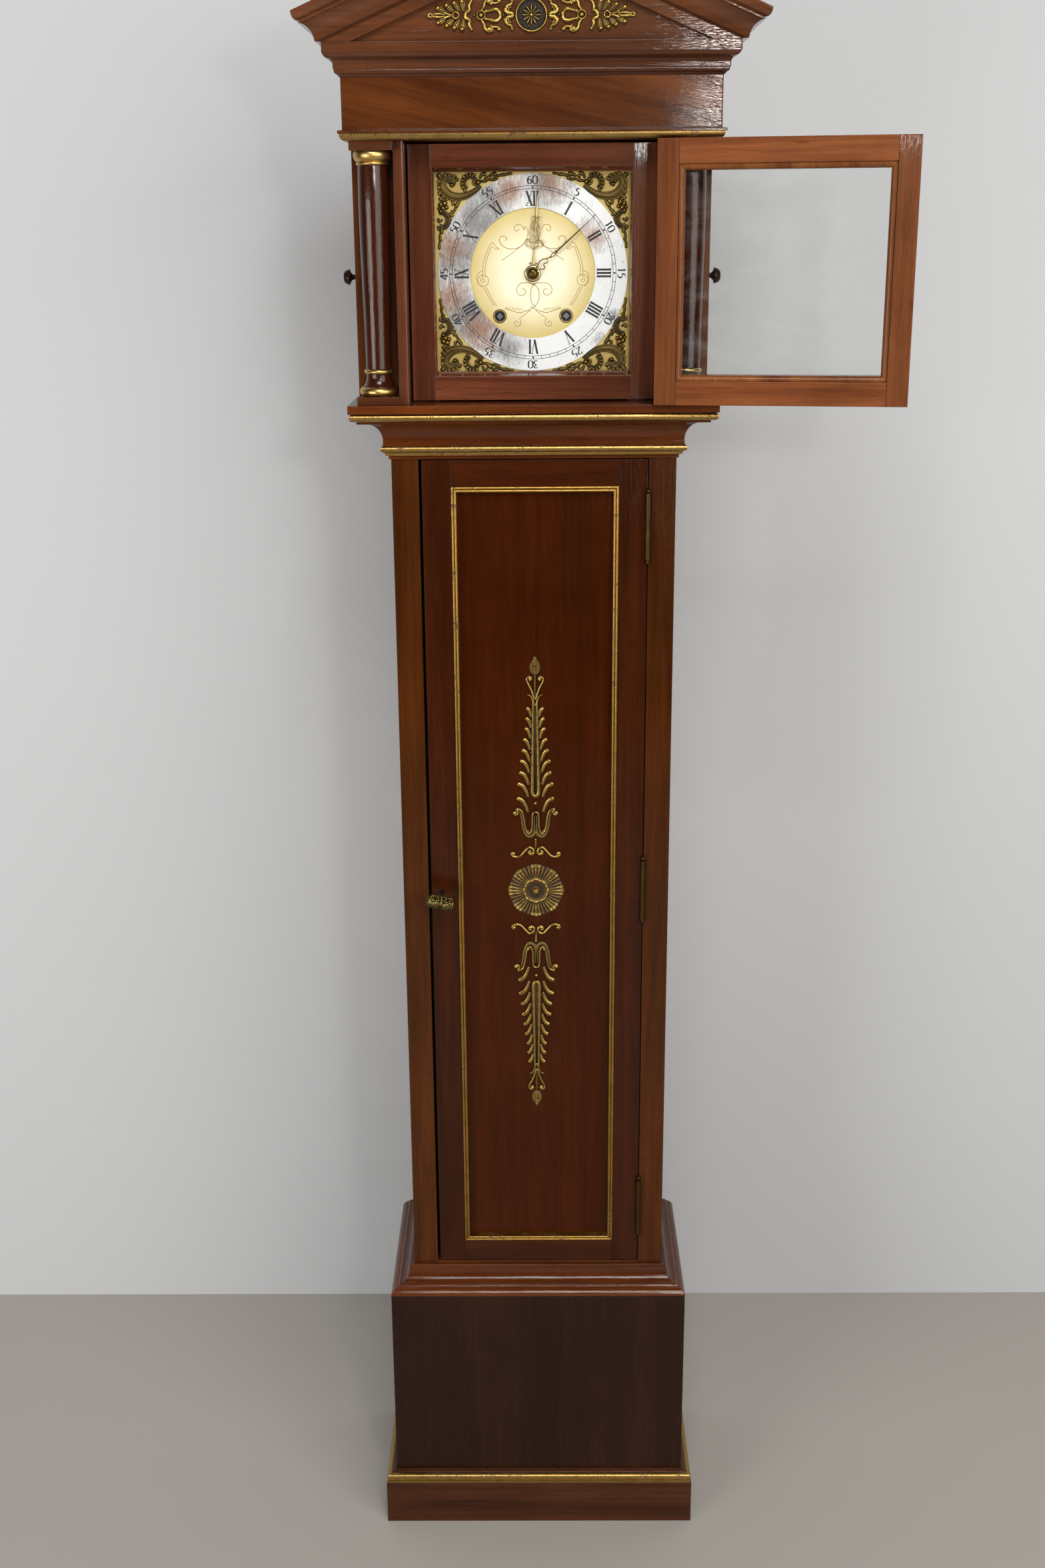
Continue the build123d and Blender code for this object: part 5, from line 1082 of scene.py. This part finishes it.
FOOT_LINE, HEAD_LINE = 0.2, TALL - 0.2
LETTERS = {
    "I": (3.7, [((0, 0), (0, TALL), BROAD)] + serifs([0.0], [FOOT_LINE, HEAD_LINE], 1.7)),
    "V": (7.6, [((-3.0, TALL), (0.2, 0), BROAD), ((3.0, TALL), (0.2, 0), HAIR)]
          + serifs([-3.0, 3.0], [HEAD_LINE], 1.3)),
    "X": (7.6, [((-3.0, TALL), (3.0, 0), BROAD), ((3.0, TALL), (-3.0, 0), HAIR)]
          + serifs([-3.0, 3.0], [FOOT_LINE, HEAD_LINE], 1.3)),
}
HOURS = ["XII", "I", "II", "III", "IIII", "V", "VI", "VII", "VIII", "IX", "X", "XI"]


def hour_strokes():
    """Every stroke of the twelve numerals, in one shell."""
    strokes = []
    for hour, word in enumerate(HOURS):
        x = -sum(LETTERS[letter][0] for letter in word) / 2
        for letter in word:
            advance, drawing = LETTERS[letter]
            shift = np.array([x + advance / 2, 0])
            strokes += [(*on_ring([start + shift, end + shift], 30 * hour, NUMERAL_FOOT), width)
                        for start, end, width in drawing]
            x += advance
    return bars(*zip(*strokes))


# %% [markdown]
# The minute figures are pen paths: a curve through a few points, broad where the pen comes down and
# hair-thin where it turns.

# %% Minute figures and track
FIGURES = {
    "0": [(0, 8.4), (-1.7, 7.2), (-2.1, 4.2), (-1.7, 1.2), (0, 0), (1.7, 1.2), (2.1, 4.2), (1.7, 7.2),
          (0, 8.4)],
    "1": [(-1.0, 7.4), (0.2, 8.4), (0.2, 6.0), (0.2, 3.0), (0.2, 0.0)],
    "2": [(-1.7, 6.6), (-0.9, 8.2), (1.0, 8.2), (1.7, 6.4), (0.4, 3.8), (-1.9, 0.2), (0.2, 0.9), (2.1, 0.1)],
    "3": [(-1.6, 7.3), (0.2, 8.4), (1.6, 6.8), (0.0, 4.8), (1.9, 2.6), (0.4, 0.0), (-1.8, 0.7)],
    "4": [(0.9, 0.0), (0.9, 4.2), (0.9, 8.4), (-2.1, 2.6), (0.0, 2.5), (2.2, 2.6)],
    "5": [(1.7, 8.3), (-0.9, 8.2), (-1.3, 4.9), (0.6, 5.2), (1.9, 3.0), (0.5, 0.2), (-1.7, 0.6)],
    "6": [(1.5, 8.2), (-0.9, 6.6), (-1.9, 3.2), (-0.8, 0.2), (1.3, 0.7), (1.6, 3.4), (-0.2, 4.9), (-1.7, 3.0)],
}


FIGURE_FOOT = 98.0                      # radius that the minute figures stand on
STEP_FOOT, STEP_HEAD = 92.8, 96.1       # radii of the track's two circles


def minute_figures():
    """Figures 5 to 60 in the outer band."""
    shells = []
    for minutes in range(5, 65, 5):
        word = str(minutes)
        for place, figure in enumerate(word):
            x = (place - (len(word) - 1) / 2) * 6.2
            path = smooth_path(np.array(FIGURES[figure]) * (1.2, 1.04) + (x, 0.0), 44)
            steep = np.abs(across(np.gradient(path, axis=0))[:, 0])
            around = on_ring(path, 6 * minutes, FIGURE_FOOT)
            shells.append(carried(around, 0.65 + 1.25 * steep ** 1.5, 0.07, 6, 0.02))
    return shells


def minute_track():
    """Two hair circles, sixty steps between them and a dart at each fifth."""
    steps = np.radians(6.0 * np.arange(60))
    ray = np.stack([np.sin(steps), np.cos(steps)], axis=1)
    darts = ray[::5]
    rungs = bars(np.vstack([ray * STEP_FOOT, darts * (STEP_FOOT + 0.6)]),
                 np.vstack([ray * STEP_HEAD, darts * (STEP_HEAD - 0.7)]), [0.55] * 60 + [1.8] * 12)
    return [rungs] + [hoop(radius, 0.6, -0.06, 0.02, 180) for radius in (STEP_FOOT, STEP_HEAD)]


WAX = ink("black_wax", (14, 13, 15))
strokes = [hour_strokes()] + minute_figures() + minute_track()
numerals = cast("dial_numerals", on_dial(strokes, RING_FRONT), WAX, "case", smooth=False)


# %% [markdown]
# ## Engraved centre
# Inside the ring the brass plate is engraved with thin scrollwork: two large spirals that come down to a
# pair of bracket bands, a crossing pair of spirals under the hands, and small scrolls by the winding holes.
# The cuts hold brown lacquer, so they are drawn as fine brown pen lines.

# %% Engraved centre
CUT = 1.35      # lacquer spreads a cut to this many times its drawn width


def cuts(*lines):
    """Pen lines from pairs of a path and its drawn width."""
    return [carried(path, width * CUT, 0.06, 6, 0.02) for path, width in lines]


def pen_lines(*lines):
    """Pen lines from a list of points, their count and a drawn width."""
    return cuts(*[(smooth_path(points, count), width) for points, count, width in lines])


def bracket(shift):
    """One of the two lines of the bracket bands, moved inwards by a shift."""
    above = [(-38.6, 27.6), (-42.0, 29.6 - shift), (-47.3, 34.0 - shift * 1.6), (-53.3 + shift, 22.8),
             (-56.6 + shift, 13.1), (-58.0 + shift, 3.4), (-57.6 + shift, -4.0)]
    below = [(-57.0 + shift, -15.0), (-51.4 + shift, -26.1), (-45.2 + shift, -36.0)]
    return pen_lines((above, 44, 0.5), (below, 20, 0.5))


def half_engraved():
    """Left half of the scrollwork, with double lines for the bands."""
    spiral = np.vstack([volute((-17.6, 49.0), 1.2, 7.8, 380, -10, 44),
                        smooth_path([(-8.8, 52.4), (-5.2, 46.6), (-6.4, 39.4), (-11.0, 32.2), (-20.4, 25.0),
                                     (-30.6, 17.8), (-36.0, 14.8)], 40)])
    shells = cuts((spiral, 0.55), (volute((-57.4, -7.6), 6.2, 6.2, 0, 360, 40), 0.5),
                  (volute((-57.4, -7.6), 3.6, 1.0, 90, 540, 30), 0.45),
                  (volute((-19.0, -55.4), 5.9, 1.4, 60, -400, 44), 0.55))
    shells += bracket(0.0) + bracket(2.8)
    shells += pen_lines(
        ([(-9.6, 33.6), (-16.4, 28.6), (-25.3, 27.2), (-33.2, 29.6), (-38.0, 35.4), (-37.2, 40.2),
          (-32.8, 41.4), (-29.6, 38.6), (-31.4, 36.4)], 50, 0.6),
        ([(-57.5, 3.4), (-62.6, 1.0), (-64.8, -4.4), (-63.4, -10.6), (-59.0, -14.6)], 24, 0.5),
        ([(3.2, -36.6), (-5.4, -41.0), (-15.7, -43.6), (-26.0, -41.0), (-33.2, -38.6)], 34, 0.6),
        ([(-2.8, -41.0), (-10.6, -46.6), (-15.0, -49.8)], 16, 0.5))
    ticks = [[(-12.0 - 3.4 * k, -41.4 + 0.3 * k), (-14.4 - 3.4 * k, -38.6 + 0.3 * k)] for k in range(6)]
    return shells + pen_lines(*[(tick, 5, 0.45) for tick in ticks])


def crossing():
    """Pair of spirals that cross under the hands. They aren't mirror images."""
    left = np.vstack([smooth_path([(1.6, -12.0), (-4.0, -10.2)], 6),
                      volute((-12.0, -19.6), 9.4, 2.2, 80, 480, 50)])
    right = np.vstack([smooth_path([(-1.0, -12.0), (6.6, -10.4)], 6),
                       volute((15.6, -19.6), 9.2, 2.2, 100, -300, 50)])
    return cuts((left, 0.6), (right, 0.6)) + pen_lines(
        ([(-2.4, -11.6), (3.4, -13.6), (6.9, -19.4), (6.9, -28.9), (3.0, -36.2)], 30, 0.65),
        ([(3.0, -11.6), (-1.4, -16.0), (-2.7, -24.0), (-1.2, -33.0), (3.0, -37.0)], 30, 0.65))


LACQUER = ink("brown_lacquer", (136, 106, 42), 0.4)
engraving = cast("centre_engraving", on_dial(flipped(half_engraved()) + crossing(), PLATE_FRONT), LACQUER,
                 "case")
WINDING = 38.6, -47.6       # X and Z of the right winding hole, from the dial's centre
collet = hoop(6.8, 1.1, -0.5, 0.05, 48, WINDING)
collets = cast("winding_collets", on_dial(flipped([collet]), PLATE_FRONT), METALS["movement"], "case",
               smooth=False, bevel=0.15)
wells = [hoop(7.7, 0.7, -0.08, 0.02, 48, WINDING), hoop(5.5, 2.0, 0.8, 1.0, 48, WINDING)]
rings = cast("winding_hole_lines", on_dial(flipped(wells), PLATE_FRONT), WAX, "case", smooth=False)


# %% [markdown]
# ## Hands
# The hour hand is a pierced casting: a plain neck, a cross of two small scrolls, an openwork body and a
# long spike. The minute hand starts in an open scroll and an eye, then runs straight and thin to the track.
# Both are drawn upright and then turned to their place, so that each rides on its own arbor.

# %% Hands
MINUTES_PAST = 8.1
HOUR_BACK = float(node_box("hour_hand")[1][1]) - 0.2
MINUTE_BACK = float(node_box("minute_hand")[1][1]) - 0.2

def hour_hand():
    """Hour hand pointing up, about the dial's centre."""
    halves = drawn(
        curves=[([(0.8, 27.6), (3.4, 30.4), (8.0, 30.6), (10.0, 34.0), (8.2, 37.2), (5.0, 37.2), (3.6, 35.0),
                  (5.4, 33.4)], 34, 1.5, 1.0),
                ([(0.0, 33.0), (2.8, 36.8), (5.0, 42.0), (5.7, 47.0), (4.8, 53.0), (3.4, 58.0),
                  (3.9, 62.6)], 34, 1.5, 1.0),
                ([(0.0, 40.0), (3.0, 43.0), (3.4, 47.0), (1.6, 51.0), (0.0, 55.0)], 20, 1.0, 1.0),
                ([(0.0, 48.0), (2.6, 51.4), (2.6, 55.6), (0.6, 60.6)], 18, 0.9, 1.0)],
        beads=[((9.9, 35.0), 1.2, 1.0), ((3.9, 62.6), 0.9, 1.0), ((1.6, 29.0), 1.0, 1.0)])
    return flipped(halves) + [
        carried(plumb(8.6, 28, 12), (3.6, 1.7), 0.9), carried([(-4.6, 11.2), (4.6, 11.2)], 1.7, 1.0),
        swept([(0, 27), (0, 40), (0, 62)], 20, 1.2, 0.8), carried([(-4.0, 62.4), (4.0, 62.4)], 1.3, 1.0),
        carried(plumb(61.5, 87.6, 14), (3.2, 0.8), 0.9), hoop(7.5, 3.6, -0.9, 0.15, 48)]


def minute_hand():
    """Minute hand pointing up, about the dial's centre."""
    stem = plumb(35.0, 97.2, 24)
    loop = drawn(curves=[([(0.0, 27.6), (1.5, 30.6), (1.2, 33.6), (0.0, 35.6)], 14, 0.9, 0.9)],
                 lobes=[([(0.0, 35.0), (1.2, 36.0), (2.2, 36.8)], 0.9, 1.4, 0.9, 8)])
    root = drawn(
        curves=[([(-1.4, 6.8), (-3.0, 11.0), (-4.8, 15.6), (-3.2, 20.8), (-1.0, 24.6), (-0.3, 28.6)], 30,
                 1.2, 0.9),
                ([(1.6, 21.6), (2.0, 19.8), (0.6, 18.0), (1.4, 15.6), (4.0, 15.4), (4.5, 12.2),
                  (1.6, 9.6)], 30, 1.1, 0.8),
                ([(-2.2, 22.4), (-0.2, 22.8), (1.6, 21.4)], 10, 1.0, 0.8)],
        beads=[((0, 27.4), 1.2, 1.0), ((0, 35.6), 1.6, 1.0), ((0, 52.0), 1.2, 1.0)])
    thinning = np.interp(stem[:, 1], [35, 68, 72, 97.2], [2.0, 1.5, 1.1, 0.5])
    return root + flipped(loop) + [carried(stem, thinning, 0.9), hoop(5.0, 2.6, -0.9, 0.15, 40)]


HOUR_BRASS = cast_brass("pale_hand_brass", HOUR_BACK, (-0.1, 0.9), (84, 62, 24), (206, 182, 124), 0.3)
hands = {
    "hour_hand": cast("pierced_hour_hand", on_dial(hour_hand(), HOUR_BACK, MINUTES_PAST / 2), HOUR_BRASS,
                      "hour_work"),
    "minute_hand": cast("scrolled_minute_hand", on_dial(minute_hand(), MINUTE_BACK, 6 * MINUTES_PAST),
                        METALS["hand"], "centre_arbor_body"),
}
for node, hand in hands.items():
    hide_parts(node)


# %% [markdown]
# ## Trunk key
# The key stays in the lock. Its steel shank comes straight out of the door and ends in a cast bow that lies
# level: two looped lobes, twisted like cord, with small scrolls and beads between them. It is drawn flat
# like the other castings and then laid down, so that what was its height points along the shank.

# %% Trunk key
key_low, key_high = node_box("trunk_door_key")
KEY_X, KEY_Z = float(key_low[0] + key_high[0]) / 2, ORNAMENT_Z
BOW_ROOT = float(key_low[1]) + 26.0
BOW_LEAN = 12.0     # the key stands a little past level, its right side down


def key_bow():
    """Bow drawn with its root at zero and its tip at 26 mm, on both sides of its middle plane."""
    loop = smooth_path([(0.0, 2.0), (5.0, 3.6), (11.4, 7.0), (15.4, 12.6), (13.0, 19.0), (7.4, 19.6),
                        (3.2, 15.0), (0.0, 13.0)], 60)
    twist = 1.0 + 0.22 * np.sin(np.linspace(0, 30 * np.pi, 60))
    halves = [carried(loop, 5.2 * twist, 4.2 * twist, 12, 3.8),
              swept([(0.0, 7.0), (4.6, 8.6), (9.0, 11.0), (10.8, 14.6)], 20, 4.0, 4.4, 10, 4.0),
              swept([(0.0, 19.0), (4.4, 22.8), (9.2, 22.8), (13.2, 19.0)], 24, 3.2, 3.4, 10, 3.0)]
    halves += drawn(beads=[((11.2, 7.0), 2.6, 5.2), ((5.2, 12.6), 2.6, 5.6), ((10.6, 20.4), 2.2, 4.6)])
    return flipped(halves) + drawn(beads=[((0, 8.6), 3.8, 5.6), ((0, 15.4), 3.4, 5.6), ((0, 21.4), 2.8, 4.6)])


laid = [(np.column_stack([p[:, 0], BOW_ROOT - p[:, 2], -1.4 * p[:, 1]]), [face[::-1] for face in faces])
        for p, faces in key_bow()]
laid = placed(laid, KEY_X, 0.0, KEY_Z, BOW_LEAN)
shank = turned([(2.2, BOW_ROOT - 6.0), (2.6, BOW_ROOT - 4.0), (4.4, BOW_ROOT - 1.5), (4.4, BOW_ROOT + 0.5),
                (3.0, BOW_ROOT + 1.5), (2.6, BOW_ROOT + 3.0), (2.6, float(key_high[1]))], (KEY_X, KEY_Z))
key_bit = bars([(KEY_X, KEY_Z)], [(KEY_X, float(key_high[2]))], [2.0], float(key_high[1]) - 0.02, 4.0)
key = cast("trunk_key", laid, METALS["old_key"], "trunk_key")
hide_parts("trunk_door_key")
key_shank = cast("trunk_key_shank", [shank, key_bit], METALS["steel"], "trunk_key")

# %% [markdown]
# ## Room and light
# The clock stands on a pale floor in front of a pale wall. A small lamp near the viewer gives the short
# glints of a lit room, a large window to the right models the case, and two soft lamps, one overhead and
# one low on the left, open the shadows. The wall lets rays through from behind, and a lamp behind it lights
# the clock's back.


# %% Room and lamps
def pale(name, colour):
    """Plain matt paint with a very slight unevenness."""
    made, tree, shader = new_material(name)
    paint = blend(tree, noise(tree, 1.2, 2.0), colour, shaded(colour, 1.03))
    plug(tree, shader, {"Base Color": paint, "Roughness": 0.75})
    return made


def slab(name, corners, material):
    """Flat four-cornered sheet for the room."""
    mesh = bpy.data.meshes.new(name)
    mesh.from_pydata(corners, [], [(0, 1, 2, 3)])
    mesh.materials.append(material)
    thing = bpy.data.objects.new(name, mesh)
    bpy.context.collection.objects.link(thing)
    return thing


def one_sided(material):
    """Let rays that come from behind pass, so that the clock's back can be seen too."""
    tree = material.node_tree
    facing = wire(tree, "ShaderNodeNewGeometry").outputs["Backfacing"]
    sides = mix_shader(tree, facing, tree.nodes["Principled BSDF"], wire(tree, "ShaderNodeBsdfTransparent"))
    plug(tree, tree.nodes["Material Output"], {"Surface": sides.outputs[0]})
    return material


REACH, WALL_Y, WALL_TOP = 6, 0.43, 4    # the floor and wall reach six metres to each side of the clock
floor = slab("floor", [(-REACH, -REACH, 0), (REACH, -REACH, 0), (REACH, REACH, 0), (-REACH, REACH, 0)],
             pale("floor_paint", rgba(180, 174, 166)))
wall = slab("wall", [(-REACH, WALL_Y, 0), (REACH, WALL_Y, 0), (REACH, WALL_Y, WALL_TOP),
                     (-REACH, WALL_Y, WALL_TOP)], one_sided(pale("wall_paint", rgba(205, 206, 207))))
WARM = (1.0, 0.985, 0.96)


def lamp(name, place, aim, size, power, colour=(1.0, 1.0, 1.0)):
    """Square soft lamp turned towards a point."""
    light = bpy.data.lights.new(name, "AREA")
    light.size = size
    light.energy = power
    light.color = colour
    thing = bpy.data.objects.new(name, light)
    thing.location = place
    way = np.array(aim) - np.array(place)
    flat = math.hypot(way[0], way[1])
    thing.rotation_euler = (math.atan2(flat, -way[2]), 0, math.atan2(way[1], way[0]) - math.pi / 2)
    bpy.context.collection.objects.link(thing)
    return thing


lamps = [
    lamp("viewer_lamp", (0.42, -2.2, 1.95), (0, 0, 1.5), 0.1, 4, WARM),
    lamp("right_window", (1.75, -2.75, 2.0), (0, 0, 1.1), 2.5, 64, WARM),
    lamp("overhead", (0.1, -2.3, 3.3), (0, 0.1, 1.0), 1.0, 42),
    lamp("left_fill", (-2.2, -2.6, 1.1), (0, 0, 0.9), 1.6, 48),
    lamp("rear_fill", (0.3, 3.0, 2.6), (0, 0, 1.0), 2.0, 30),
]
sky = bpy.data.worlds.new("room_air")
sky.use_nodes = True
air = sky.node_tree
seen = wire(air, "ShaderNodeLightPath").outputs
direct = math_node(air, "MAXIMUM", seen["Is Camera Ray"], seen["Is Transmission Ray"])
grey = blend(air, direct, (0.045, 0.047, 0.05, 1.0), rgba(190, 191, 192))
plug(air, air.nodes["Background"], {"Color": grey})
bpy.context.scene.world = sky
print("lamps:", [thing.name for thing in lamps])
